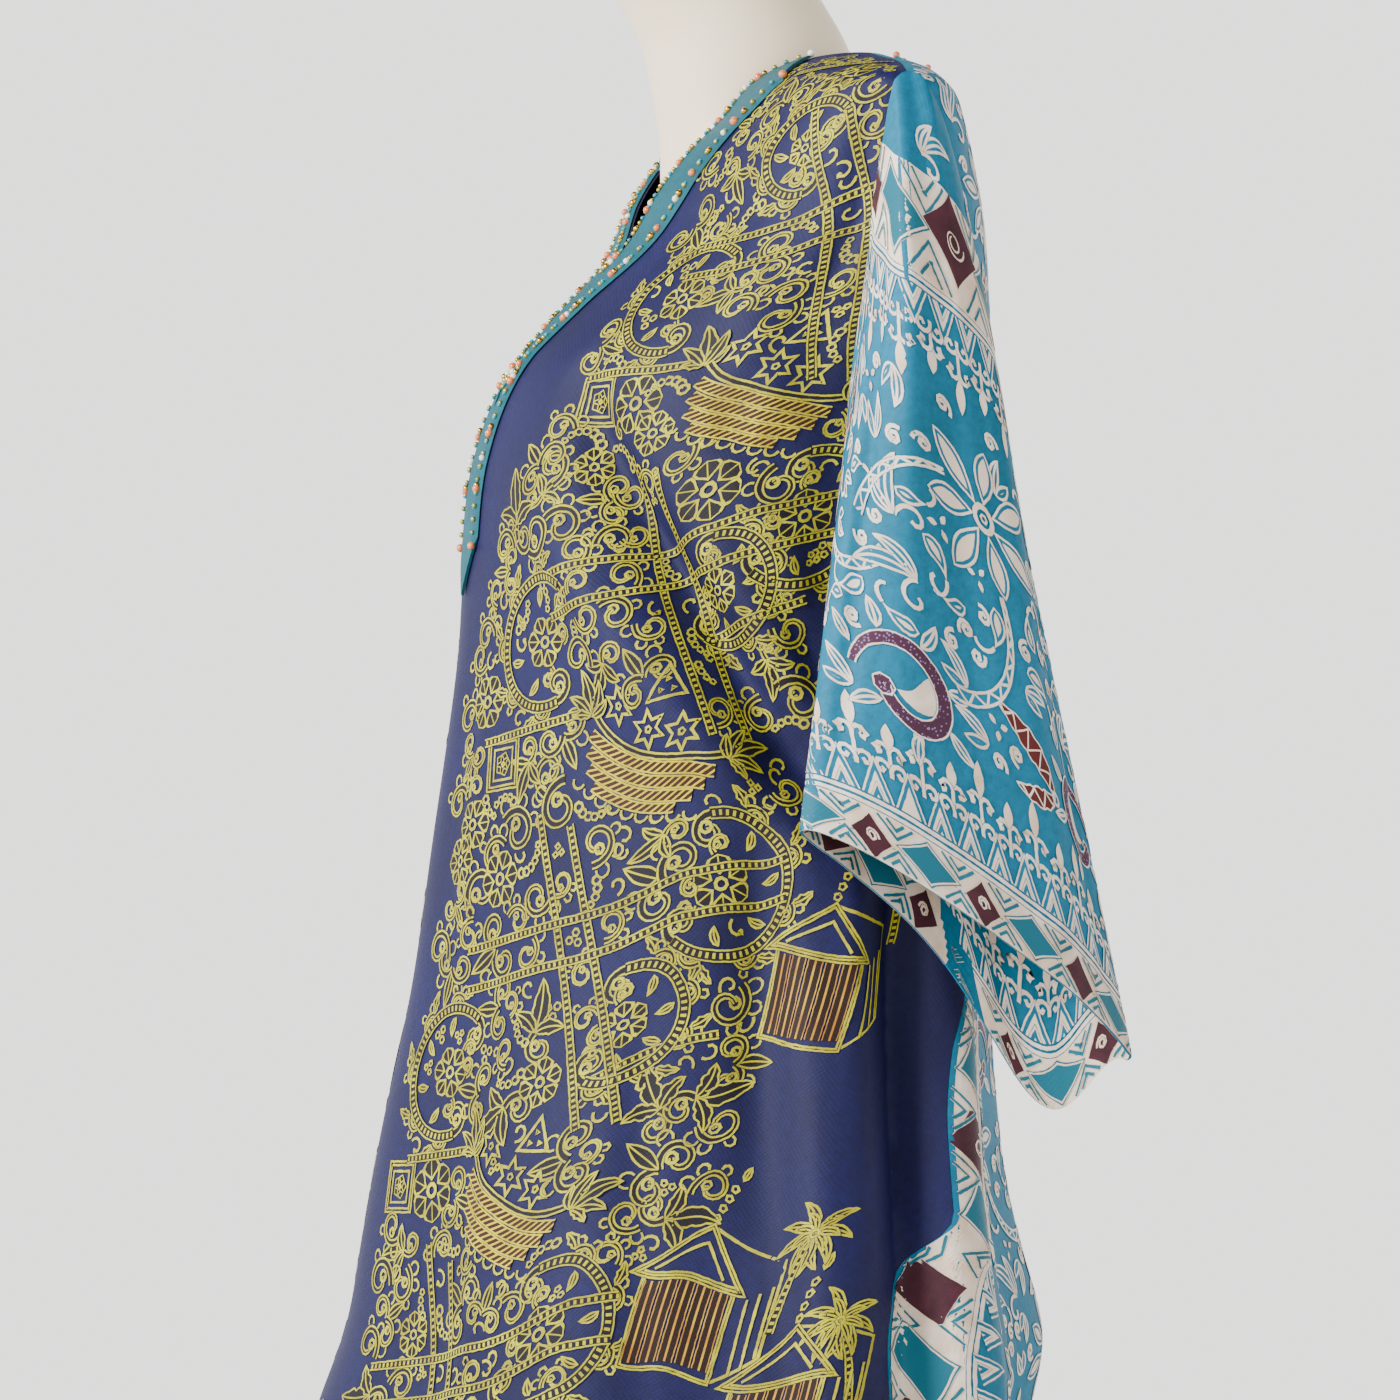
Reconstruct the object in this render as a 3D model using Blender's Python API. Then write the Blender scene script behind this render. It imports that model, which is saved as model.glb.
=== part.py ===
"""A V-neck batik kaftan shirt on a limbless dress form with a round stand.

Frame: metres, +Z up, the front faces -Y and the wearer's left is +X. The origin is the middle of the stand's underside.
Every cloth piece is a wall between an outer and an inner sheet of points. The body of the shirt is one ring of
horizontal sections. An angle round the ring is 0 at the centre front, 90 at the wearer's left and 180 at the back.
"""

import math

import bmesh
import bpy
import numpy as np

# ---- Cloth ----------------------------------------------------------------------------------------------------
WALL = 0.0016  # thickness of every cloth wall
GAP = 0.0003  # between pieces at a seam
LIFT = 0.0013  # from a panel to a band that lies on it, more than a facet's sag
NORMAL_ANGLE = 0.3  # degrees to each side where the body's outward direction is measured
NORMAL_RISE = 0.0010  # and metres up and down

# ---- Heights --------------------------------------------------------------------------------------------------
NECK_TOP_Z = 1.3680  # the shoulder seam's end at the neck
SHOULDER_Z = 1.3330  # the shoulder seam's end at the sleeve
UNDERARM_Z = 1.0700
V_POINT_Z = 1.2640
BACK_NECK_Z = 1.3450
PLACKET_END_Z = 1.0850
HEM_Z = 0.5950

# ---- Neck and bands -------------------------------------------------------------------------------------------
NECK_HALF = 0.0640  # half width of the neck opening at the shoulder seam
V_CURVE = 0.92  # under 1 curves the sides of the V outwards, a power
BAND_WIDTH = 0.0420
BAND_END = 0.0024  # from a band's end down from the shoulder seam
PLACKET_HALF = 0.0170
PLACKET_POINT = 0.0300  # height of the placket's pointed end
NECK_TRIM = 0.0022  # from the shoulder seam's end down to the panels' top row
BAND_REACH = 0.985  # how far up the V the front bands go, as a share
BACK_BAND_SPREAD = 0.90  # how much the back band widens outwards at its ends, as a share of its width
BACK_BAND_LEVEL = 0.62  # how much of its fall it loses there, where it turns along the shoulder seam
PLACKET_CLEAR = 3 * GAP  # from the V's bands down to the placket, since both lean

# Horizontal sections of the shirt's body, from the neck to the hem.
#  z       half width  side y   front y   back y
BODY = np.array((
    (1.3680, 0.0740, 0.0320, -0.0010, 0.0620),
    (1.3600, 0.1020, 0.0300, -0.0160, 0.0690),
    (1.3500, 0.1400, 0.0260, -0.0280, 0.0740),
    (1.3330, 0.1880, 0.0150, -0.0380, 0.0780),
    (1.3200, 0.1895, 0.0190, -0.0500, 0.0820),
    (1.3000, 0.1880, 0.0240, -0.0640, 0.0880),
    (1.2670, 0.1850, 0.0290, -0.0800, 0.0960),
    (1.2350, 0.1820, 0.0300, -0.1100, 0.1000),
    (1.2000, 0.1800, 0.0260, -0.1390, 0.1030),
    (1.1560, 0.1790, 0.0200, -0.1560, 0.1040),
    (1.1050, 0.1820, 0.0140, -0.1610, 0.1020),
    (1.0500, 0.1860, 0.0090, -0.1635, 0.1030),
    (0.9500, 0.1900, 0.0030, -0.1770, 0.1040),
    (0.8780, 0.1970, 0.0000, -0.1875, 0.1040),
    (0.8000, 0.2180, -0.0050, -0.2040, 0.1040),
    (0.7500, 0.2340, -0.0080, -0.2130, 0.1100),
    (0.7000, 0.2450, -0.0100, -0.2220, 0.1200),
    (0.6520, 0.2510, -0.0120, -0.2390, 0.1100),
    (0.5950, 0.2570, -0.0120, -0.2500, 0.1150),
))

# Where the front ends at the side: the seam's angle below the underarm. The front reaches round under the sleeve.
#  z       left side  right side
SIDE_SEAM = np.array((
    (1.0700, 91.0, -91.0),
    (1.0000, 104.0, -101.0),
    (0.9400, 111.0, -106.0),
    (0.9000, 111.0, -107.0),
    (0.8600, 106.0, -105.0),
    (0.8200, 104.0, -104.0),
    (0.7870, 104.0, -102.0),
    (0.7500, 91.0, -95.0),
    (0.7000, 89.0, -91.0),
    (0.5950, 90.0, -90.0),
))

# The largest folds of the body: a ridge has a positive height and a trough a negative one.
#  angle  spread  top z  full z  height
FOLDS = np.array((
    (0.0, 9.0, 1.200, 1.000, 0.0050),
    (22.0, 9.0, 1.040, 0.700, -0.0070),
    (45.0, 10.0, 1.000, 0.640, 0.0080),
    (66.0, 8.0, 0.960, 0.640, -0.0110),
    (80.0, 7.0, 1.060, 0.760, 0.0130),
    (94.0, 6.5, 1.040, 0.900, -0.0150),
    (110.0, 8.0, 1.020, 0.860, 0.0120),
    (136.0, 11.0, 1.060, 0.660, -0.0120),
    (158.0, 9.0, 0.980, 0.640, 0.0130),
    (178.0, 9.0, 1.100, 0.700, -0.0070),
    (-158.0, 10.0, 1.020, 0.660, 0.0140),
    (-138.0, 9.0, 0.980, 0.660, -0.0110),
    (-112.0, 8.0, 1.030, 0.840, 0.0120),
    (-95.0, 7.0, 1.050, 0.880, -0.0140),
    (-80.0, 7.0, 1.020, 0.740, 0.0120),
    (-62.0, 8.0, 0.980, 0.660, -0.0100),
    (-40.0, 10.0, 1.010, 0.660, 0.0090),
    (-20.0, 8.0, 1.040, 0.720, -0.0060),
))

# ---- Sleeves --------------------------------------------------------------------------------------------------
ARMHOLE_FRONT = 0.0300  # how far the armhole opens forward of the body's side line
ARMHOLE_REAR = 0.0150  # and to the rear of it
SEAM_LAP = 0.0050  # how far the sleeve's head laps over the panels
CUFF_FRONT = (0.240, -0.057, 0.969)  # front corner of the flattened cuff: x, y, z
CUFF_REAR = (0.238, 0.108, 0.858)  # rear corner
CUFF_SWELL = 0.021  # how far each layer stands off the corners' line
CUFF_UNDER_DROP = 0.058  # how far the inner layer hangs below that line, towards the rear
CUFF_OUTER_RISE = 0.012  # how far the outer layer is lifted above that line
CUFF_DROP_REAR = 3.2  # over 1 moves the inner layer's drop to the rear, a power
CUFF_DROP_POWER = 1.3  # over 1 narrows it, a power
ARMHOLE_POWER = 0.7  # under 1 squares the armhole's ends
SLEEVE_SHOULDER_X = 0.014  # how far the head of the sleeve swells out beyond the armhole
UNDERARM_SWELL = 0.4  # the share of that swell that is left at the underarm
SLEEVE_LEAVE = 0.08  # how straight the sleeve leaves the armhole, as a share of its drop
SLEEVE_ARRIVE = 0.42  # and how straight it arrives at the cuff

# ---- Dress form and stand -------------------------------------------------------------------------------------
# Sections of the form's body, from the underside to the shoulders.
#  z       half width  middle y  front y   back y
FORM = np.array((
    (0.7200, 0.0600, -0.0100, -0.0600, 0.0400),
    (0.7240, 0.1100, -0.0100, -0.1000, 0.0650),
    (0.7400, 0.1400, -0.0080, -0.1250, 0.0720),
    (0.7800, 0.1560, -0.0060, -0.1380, 0.0740),
    (0.8400, 0.1540, -0.0020, -0.1340, 0.0720),
    (0.9200, 0.1420, 0.0020, -0.1200, 0.0680),
    (1.0000, 0.1300, 0.0060, -0.1150, 0.0660),
    (1.0800, 0.1380, 0.0100, -0.1300, 0.0760),
    (1.1560, 0.1540, 0.0160, -0.1400, 0.0900),
    (1.2000, 0.1620, 0.0200, -0.1200, 0.0920),
    (1.2400, 0.1670, 0.0240, -0.0880, 0.0900),
    (1.2800, 0.1700, 0.0220, -0.0600, 0.0820),
    (1.3050, 0.1680, 0.0190, -0.0460, 0.0740),
    (1.3200, 0.1560, 0.0170, -0.0370, 0.0660),
    (1.3320, 0.1300, 0.0200, -0.0260, 0.0620),
    (1.3430, 0.0980, 0.0240, -0.0120, 0.0600),
    (1.3520, 0.0500, 0.0240, 0.0000, 0.0500),
))

# The form's neck leans forward as it rises.
#  z       half width  middle y  half depth
NECK = np.array((
    (1.2600, 0.0300, 0.0050, 0.0300),
    (1.3000, 0.0500, 0.0020, 0.0540),
    (1.3275, 0.0510, 0.0010, 0.0580),
    (1.3550, 0.0505, -0.0040, 0.0575),
    (1.3816, 0.0505, -0.0115, 0.0565),
    (1.4086, 0.0505, -0.0266, 0.0550),
    (1.4480, 0.0500, -0.0490, 0.0545),
))
NECK_BLEND = 7.0  # how tightly the neck and the shoulders blend, a power
NECK_CAP_HEIGHT = 0.008
NECK_CAP_INSET = 0.003
SMALL_BEVEL = 0.004  # of the cap and the collar
COLLAR_RADIUS = 0.030
COLLAR_HEIGHT = 0.022
POLE_RADIUS = 0.015
BASE_RADIUS = 0.170
BASE_HEIGHT = 0.018
BASE_BEVEL = 0.005

# ---- Finishes: linear colour, roughness, metallic -------------------------------------------------------------
NAVY_BATIK = ((0.026, 0.028, 0.120), 0.70, 0.0)
TURQUOISE_BATIK = ((0.020, 0.250, 0.400), 0.75, 0.0)
TEAL_CLOTH = ((0.014, 0.180, 0.260), 0.80, 0.0)
CREAM_SHELL = ((0.890, 0.800, 0.670), 0.45, 0.0)
WHITE_PAINT = ((0.800, 0.790, 0.760), 0.40, 0.0)
STEEL = ((0.550, 0.550, 0.560), 0.30, 1.0)


def clear_scene():
    for item in list(bpy.data.objects):
        bpy.data.objects.remove(item, do_unlink=True)


def make_material(name, finish):
    colour, roughness, metallic = finish
    material = bpy.data.materials.new(name)
    material.use_nodes = True
    shader = next(node for node in material.node_tree.nodes if node.type == "BSDF_PRINCIPLED")
    shader.inputs["Base Color"].default_value = (*colour, 1.0)
    shader.inputs["Roughness"].default_value = roughness
    shader.inputs["Metallic"].default_value = metallic
    return material


def smooth_read(table, z, column):
    """Reads a column of a table at height z, through a smooth curve without overshoot."""
    rows = table[np.argsort(table[:, 0])]
    heights, values = rows[:, 0], rows[:, column]
    steps = np.diff(values) / np.diff(heights)
    slopes = np.concatenate(([steps[0]], (steps[1:] + steps[:-1]) / 2, [steps[-1]]))
    turning = np.concatenate(([False], steps[1:] * steps[:-1] <= 0, [False]))
    slopes[turning] = 0.0
    at = min(max(z, heights[0]), heights[-1])
    i = min(max(int(np.searchsorted(heights, at)) - 1, 0), len(steps) - 1)
    span = heights[i + 1] - heights[i]
    t = (at - heights[i]) / span
    return float(
        values[i] * (1 + 2 * t) * (1 - t) ** 2
        + slopes[i] * span * t * (1 - t) ** 2
        + values[i + 1] * t * t * (3 - 2 * t)
        - slopes[i + 1] * span * t * t * (1 - t)
    )


def ramp(value, start, end):
    """0 at start, 1 at end, with an eased middle."""
    t = min(max((value - start) / (end - start), 0.0), 1.0)
    return t * t * (3 - 2 * t)


def fold_height(angle, z):
    """How far the folds lift the body's surface, angle in degrees."""
    total = 0.0
    for centre, spread, top_z, full_z, height in FOLDS:
        away = (angle - centre + 180.0) % 360.0 - 180.0
        total += height * math.exp(-((away / spread) ** 2)) * ramp(z, top_z, full_z)
    return total


def ring_point(angle, z):
    """A point of the shirt's body surface."""
    half, side_y, front_y, back_y = (smooth_read(BODY, z, column) for column in (1, 2, 3, 4))
    turn = math.radians(angle)
    reach = side_y - front_y if math.cos(turn) > 0 else back_y - side_y
    outward = np.array((math.sin(turn) / half, -math.cos(turn) / reach, 0.0))
    outward *= fold_height(angle, z) / np.linalg.norm(outward)
    return np.array((half * math.sin(turn), side_y - reach * math.cos(turn), z)) + outward


def unit(vector):
    return vector / np.linalg.norm(vector)


def body_point(angle, z, out=0.0):
    """A point of the body, moved out from the surface by the given distance."""
    if out == 0.0:
        return ring_point(angle, z)
    across = ring_point(angle + NORMAL_ANGLE, z) - ring_point(angle - NORMAL_ANGLE, z)
    up = ring_point(angle, min(z + NORMAL_RISE, NECK_TOP_Z)) - ring_point(angle, z - NORMAL_RISE)
    return ring_point(angle, z) + unit(np.cross(across, up)) * out


def angle_at(x, z):
    """The front angle of the body where it is x from the centre."""
    return math.degrees(math.asin(min(max(x / smooth_read(BODY, z, 1), -1.0), 1.0)))


def armhole_depth(z, front):
    """How far the armhole opens to the front or the rear of the side line at height z."""
    t = (SHOULDER_Z - z) / (SHOULDER_Z - UNDERARM_Z)
    deepest = ARMHOLE_FRONT if front else ARMHOLE_REAR
    return deepest * math.sin(math.pi * min(max(t, 0.0), 1.0)) ** ARMHOLE_POWER


def edge_angle(z, side, front):
    """The angle where a panel ends: at the shoulder seam, the armhole or the side seam. side is 1 or -1."""
    side_y, front_y, back_y = (smooth_read(BODY, z, column) for column in (2, 3, 4))
    reach = side_y - front_y if front else back_y - side_y
    clear = math.degrees(GAP / 2 / max(reach, GAP))
    if z > UNDERARM_Z:
        opened = math.degrees(math.asin(min(armhole_depth(z, front) / reach, 1.0)))
        return side * (90.0 - opened - clear) if front else side * (90.0 + opened + clear)
    seam = smooth_read(SIDE_SEAM, z, 1 if side > 0 else 2)
    return seam - side * clear if front else seam + side * clear


def neck_half(z):
    """Half width of the V at height z."""
    t = (z - V_POINT_Z) / (NECK_TOP_Z - V_POINT_Z)
    return NECK_HALF * max(t, 0.0) ** V_CURVE


def back_neck_z(x):
    return BACK_NECK_Z + (NECK_TOP_Z - BACK_NECK_Z) * (abs(x) / NECK_HALF) ** 2


def add_wall(name, outer, inner, faces, material):
    """One closed body between two sheets of points that share their faces. The outer faces point out."""
    count = len(outer)
    edges = {(face[k - 1], face[k]) for face in faces for k in range(len(face))}
    rims = []
    for a, b in sorted(edge for edge in edges if edge[::-1] not in edges):
        # Both sides of a seam split their rims along the same diagonal, from the upper outer corner.
        if outer[a][2] > outer[b][2]:
            rims += [(b, a, b + count), (a, a + count, b + count)]
        else:
            rims += [(b, a, a + count), (b, a + count, b + count)]
    under = [tuple(corner + count for corner in reversed(face)) for face in faces]
    points = [tuple(point) for point in (*outer, *inner)]
    mesh = bpy.data.meshes.new(name)
    mesh.from_pydata(points, [], [tuple(face) for face in faces] + under + rims)
    mesh.materials.append(material)
    mesh.shade_smooth()
    mesh.set_sharp_from_angle(angle=math.radians(50))
    wall = bpy.data.objects.new(name, mesh)
    bpy.context.scene.collection.objects.link(wall)
    return wall


def grid_faces(rows, columns, turned=False):
    """Quads of a grid of points stored row by row."""
    faces = []
    for i in range(rows - 1):
        for j in range(columns - 1):
            a = i * columns + j
            quad = (a, a + 1, a + columns + 1, a + columns)
            faces.append(quad[::-1] if turned else quad)
    return faces


def panel_heights():
    """Rows that both panels share, so that their seams match: shoulder, armhole and side."""
    shoulder = (NECK_TOP_Z - NECK_TRIM, 1.3590, 1.3520, BACK_NECK_Z, 1.3390, SHOULDER_Z)
    chest = np.linspace(SHOULDER_Z, V_POINT_Z, 4)[1:]
    armhole = np.linspace(V_POINT_Z, UNDERARM_Z, 7)[1:]
    skirt = np.linspace(UNDERARM_Z, HEM_Z, 15)[1:]
    return np.concatenate((shoulder, chest, armhole, skirt))


def neckline_angle(z, front):
    """The angle of a panel's neckline at height z, 0 or 180 below it."""
    if front:
        return angle_at(neck_half(z), z)
    across = NECK_HALF * math.sqrt(max(z - BACK_NECK_Z, 0.0) / (NECK_TOP_Z - BACK_NECK_Z))
    return 180.0 - angle_at(across, z)


def make_panel(name, front, material, columns=12):
    """The front or the back: two halves of a grid that share their middle column below the neckline."""
    heights = panel_heights()
    split_z = V_POINT_Z if front else BACK_NECK_Z
    outer, inner, index = [], [], {}
    for side in (1, -1):
        for i, z in enumerate(heights):
            start, end = side * neckline_angle(z, front), edge_angle(z, side, front)
            for j in range(columns + 1):
                if j == 0 and side < 0 and z <= split_z + 1e-9:
                    index[side, i, j] = index[1, i, j]
                    continue
                index[side, i, j] = len(outer)
                angle = start + (end - start) * j / columns
                outer.append(body_point(angle, z))
                inner.append(body_point(angle, z, -WALL))
    faces = []
    for side in (1, -1):
        for i in range(len(heights) - 1):
            for j in range(columns):
                quad = [index[side, i + di, j + dj] for di, dj in ((0, 0), (1, 0), (1, 1), (0, 1))]
                faces.append(quad if (side > 0) == front else quad[::-1])
    return add_wall(name, outer, inner, faces, material)


def add_band(name, spots, faces, material):
    """A band on top of a panel, from its spots: pairs of an angle and a height."""
    outer = [body_point(angle, z, LIFT + WALL) for angle, z in spots]
    inner = [body_point(angle, z, LIFT) for angle, z in spots]
    return add_wall(name, outer, inner, faces, material)


def band_spot(along, across, side):
    """A spot of the front neckband: along 0 at the V's point to 1 at the shoulder seam, across 0 at the V's edge."""
    rise, run = NECK_TOP_Z - V_POINT_Z, NECK_HALF
    length = math.hypot(rise, run)
    edge = NECK_HALF * along**V_CURVE if along > 0 else NECK_HALF * along
    x = max(edge + across * rise / length, GAP / 2)
    z = V_POINT_Z + rise * along - across * run / length
    z = min(z, shoulder_seam_z(x) - BAND_END)
    return angle_at(side * x, z), z


def make_front_band(side, material, steps=24, columns=5):
    """One side of the V's band, on top of the front panel and cut straight at the centre and the shoulder."""
    spots = []
    for i in range(steps + 1):
        for j in range(columns + 1):
            across = BAND_WIDTH * j / columns
            # Where a line beside the V's edge meets the centre, below the V's point.
            first = -across * (NECK_TOP_Z - V_POINT_Z) / NECK_HALF
            first /= math.hypot(NECK_TOP_Z - V_POINT_Z, NECK_HALF)
            spots.append(band_spot(first + (BAND_REACH - first) * i / steps, across, side))
    name = "neckband_left" if side > 0 else "neckband_right"
    return add_band(name, spots, grid_faces(steps + 1, columns + 1, turned=side < 0), material)


def shoulder_seam_z(x):
    """Height of the shoulder seam at x from the centre."""
    heights = np.linspace(SHOULDER_Z, NECK_TOP_Z, 24)
    widths = np.array([smooth_read(BODY, z, 1) for z in heights])
    return float(np.interp(-x, -widths, heights))


def make_back_band(material, steps=20, columns=5):
    """The band round the back of the neck, on top of the back panel."""
    spots = []
    for i in range(steps + 1):
        share = -1.0 + 2.0 * i / steps
        for j in range(columns + 1):
            across = BAND_WIDTH * j / columns
            x = share * (NECK_HALF + across * BACK_BAND_SPREAD)
            z = back_neck_z(share * NECK_HALF) - across * (1.0 - BACK_BAND_LEVEL * abs(share))
            z = min(z, shoulder_seam_z(abs(x)) - BAND_END)
            spots.append((180.0 - angle_at(x, z), z))
    return add_band("neckband_back", spots, grid_faces(steps + 1, columns + 1, turned=True), material)


def make_placket(material, steps=12, columns=4):
    """The pointed band that closes the front under the V."""
    slope = (NECK_TOP_Z - V_POINT_Z) / NECK_HALF
    top_z = V_POINT_Z - BAND_WIDTH * math.hypot(1.0, slope)
    spots = []
    for i in range(steps + 1):
        for j in range(columns + 1):
            share = -1.0 + 2.0 * j / columns
            x = share * PLACKET_HALF
            start = top_z + abs(x) * slope - PLACKET_CLEAR
            end = PLACKET_END_Z + PLACKET_POINT * abs(share)
            z = start + (end - start) * i / steps
            spots.append((angle_at(x, z), z))
    return add_band("placket", spots, grid_faces(steps + 1, columns + 1, turned=True), material)


def sleeve_head(turn):
    """A point of the sleeve's head, which laps over the panels' edges: turn 0 at the shoulder, 90 in front."""
    middle, half = (SHOULDER_Z + UNDERARM_Z) / 2, (SHOULDER_Z - UNDERARM_Z) / 2
    z = middle + half * math.cos(turn)
    front = math.sin(turn) > 0
    side_y = smooth_read(BODY, z, 2)
    reach = side_y - smooth_read(BODY, z, 3) if front else smooth_read(BODY, z, 4) - side_y
    depth = armhole_depth(z, front) + SEAM_LAP * min(1.0, 4 * abs(math.sin(turn)))
    opened = math.degrees(math.asin(min(depth / reach, 1.0)))
    return body_point(90.0 - opened if front else 90.0 + opened, z, LIFT + WALL)


def sleeve_cuff(turn):
    """A point of the cuff's hem at the same turn."""
    front, rear = np.array(CUFF_FRONT), np.array(CUFF_REAR)
    across, layer = math.sin(turn), math.cos(turn)
    point = (front + rear) / 2 + (front - rear) / 2 * across
    point[0] += CUFF_SWELL * layer
    rear_share = math.sin(math.pi * ((1 - across) / 2) ** CUFF_DROP_REAR) ** CUFF_DROP_POWER
    point[2] += CUFF_OUTER_RISE * max(layer, 0.0) - CUFF_UNDER_DROP * rear_share * max(-layer, 0.0)
    return point


def sleeve_point(turn, along):
    """A point of the left sleeve: along 0 at the armhole to 1 at the cuff."""
    head, cuff = sleeve_head(turn), sleeve_cuff(turn)
    swell = UNDERARM_SWELL + (1 - UNDERARM_SWELL) * max(math.cos(turn), 0.0)
    leave = np.array((SLEEVE_SHOULDER_X * swell, 0.0, 0.0))
    drop = cuff - head
    first = head + leave + drop * SLEEVE_LEAVE
    second = cuff - drop * SLEEVE_ARRIVE
    t = along
    return (
        head * (1 - t) ** 3
        + first * 3 * t * (1 - t) ** 2
        + second * 3 * t * t * (1 - t)
        + cuff * t**3
    )


def make_sleeve(side, material, steps=13, columns=26):
    """An open tube from the armhole to the slanted cuff."""
    outer, inner = [], []
    flip = np.array((side, 1.0, 1.0))
    for i in range(steps + 1):
        for j in range(columns):
            turn, along = 2 * math.pi * j / columns, i / steps
            point = sleeve_point(turn, along)
            round_it = sleeve_point(turn + 0.05, along) - sleeve_point(turn - 0.05, along)
            down = sleeve_point(turn, min(along + 0.02, 1.0)) - sleeve_point(turn, max(along - 0.02, 0.0))
            outer.append(point * flip)
            inner.append((point - unit(np.cross(down, round_it)) * WALL) * flip)
    faces = []
    for i in range(steps):
        for j in range(columns):
            a, b = i * columns + j, i * columns + (j + 1) % columns
            quad = (a, a + columns, b + columns, b)
            faces.append(quad if side > 0 else quad[::-1])
    name = "sleeve_left" if side > 0 else "sleeve_right"
    return add_wall(name, outer, inner, faces, material)


def oval_reach(turn, half, front, back):
    """How far an oval reaches from its middle in the direction turn, 0 at the front."""
    depth = front if math.cos(turn) > 0 else back
    return 1.0 / math.hypot(math.sin(turn) / half, math.cos(turn) / depth)


def form_point(turn, z):
    """A point of the dress form: the body's oval and the neck's oval, blended into one outline."""
    half, middle, front, back = (smooth_read(FORM, z, column) for column in (1, 2, 3, 4))
    neck_half_width, neck_y, neck_depth = (smooth_read(NECK, z, column) for column in (1, 2, 3))
    body_share = 1.0 if z < FORM[-1, 0] else 0.0
    neck_share = 1.0 if z > NECK[0, 0] else 0.0
    centre = neck_y if neck_share else middle
    reach = 0.0
    if body_share:
        reach += oval_reach(turn, half, centre - front, back - centre) ** NECK_BLEND
    if neck_share:
        reach += oval_reach(turn, neck_half_width, neck_depth, neck_depth) ** NECK_BLEND
    reach **= 1.0 / NECK_BLEND
    return (reach * math.sin(turn), centre - reach * math.cos(turn), z)


def make_form(material, columns=36):
    """The dress form: closed sections stacked from the underside to the top of the neck."""
    heights = np.concatenate((
        FORM[:3, 0], np.linspace(0.765, 1.25, 14), np.linspace(1.262, 1.358, 13), np.linspace(1.37, NECK[-1, 0], 5)
    ))
    work = bmesh.new()
    rings = [
        [work.verts.new(form_point(2 * math.pi * j / columns, z)) for j in range(columns)]
        for z in heights
    ]
    for low, high in zip(rings, rings[1:]):
        for j in range(columns):
            k = (j + 1) % columns
            work.faces.new((low[j], low[k], high[k], high[j]))
    work.faces.new(rings[0][::-1])
    work.faces.new(rings[-1])
    mesh = bpy.data.meshes.new("form_torso")
    work.to_mesh(mesh)
    work.free()
    mesh.materials.append(material)
    mesh.shade_smooth()
    mesh.set_sharp_from_angle(angle=math.radians(40))
    torso = bpy.data.objects.new("form_torso", mesh)
    bpy.context.scene.collection.objects.link(torso)
    return torso


def add_disc(name, radius, height, centre, material, bevel=0.0, sides=48):
    """An upright cylinder standing on centre, with rounded rims."""
    work = bmesh.new()
    bmesh.ops.create_cone(
        work, cap_ends=True, segments=sides, radius1=radius, radius2=radius, depth=height
    )
    bmesh.ops.translate(work, verts=work.verts, vec=(0.0, 0.0, height / 2))
    if bevel:
        rims = [edge for edge in work.edges if abs(edge.verts[0].co.z - edge.verts[1].co.z) < 1e-6]
        rims = [edge for edge in rims if edge.verts[0].co.z > height / 2]
        bmesh.ops.bevel(work, geom=rims, offset=bevel, segments=3, affect="EDGES", profile=0.5)
    mesh = bpy.data.meshes.new(name)
    work.to_mesh(mesh)
    work.free()
    mesh.materials.append(material)
    mesh.shade_smooth()
    mesh.set_sharp_from_angle(angle=math.radians(40))
    disc = bpy.data.objects.new(name, mesh)
    disc.location = centre
    bpy.context.scene.collection.objects.link(disc)
    return disc


def make_stand(paint, steel, shell):
    """Base, pole, collar and the cap that closes the neck."""
    collar_z = FORM[0, 0] - GAP - COLLAR_HEIGHT
    pole_length = collar_z - GAP - (BASE_HEIGHT + GAP)
    add_disc("stand_base", BASE_RADIUS, BASE_HEIGHT, (0.0, 0.0, 0.0), paint, BASE_BEVEL, 64)
    add_disc("stand_pole", POLE_RADIUS, pole_length, (0.0, 0.0, BASE_HEIGHT + GAP), steel, 0.0, 24)
    add_disc("stand_collar", COLLAR_RADIUS, COLLAR_HEIGHT, (0.0, 0.0, collar_z), paint, SMALL_BEVEL, 32)
    top_z, half, middle = NECK[-1, 0], NECK[-1, 1], NECK[-1, 2]
    cap_radius = half - NECK_CAP_INSET
    add_disc("form_neck_cap", cap_radius, NECK_CAP_HEIGHT, (0.0, middle, top_z + GAP), shell, SMALL_BEVEL, 40)


def main():
    clear_scene()
    navy = make_material("navy_batik", NAVY_BATIK)
    turquoise = make_material("turquoise_batik", TURQUOISE_BATIK)
    teal = make_material("teal_cloth", TEAL_CLOTH)
    shell = make_material("cream_shell", CREAM_SHELL)
    paint = make_material("white_paint", WHITE_PAINT)
    steel = make_material("brushed_steel", STEEL)
    make_panel("front_panel", True, navy)
    make_panel("back_panel", False, turquoise)
    for side in (1, -1):
        make_sleeve(side, turquoise)
        make_front_band(side, teal)
    make_back_band(teal)
    make_placket(teal)
    make_form(shell)
    make_stand(paint, steel, shell)


main()
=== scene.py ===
"""The looks of a V-neck batik shirt on a limbless dress form with a round stand.

The shirt's cloth is modelled as thin sheets on the surfaces of the solid model, with its smaller creases
added. The batik figures are narrow strips of printed cloth that lie on the sheets. They are drawn flat, in
millimetres, on each piece's cutting plan (x to the right and y up, seen from outside) and then wrapped onto the
sheet.

Frame: metres, +Z up, the front faces -Y and the wearer's left is +X. An angle round the body is 0 at the centre
front, 90 at the wearer's left and 180 at the back.
"""

from __future__ import annotations

import logging
import math
from dataclasses import dataclass, field, replace
from enum import Enum
from functools import partial
from typing import Callable, Iterable, Sequence

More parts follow.
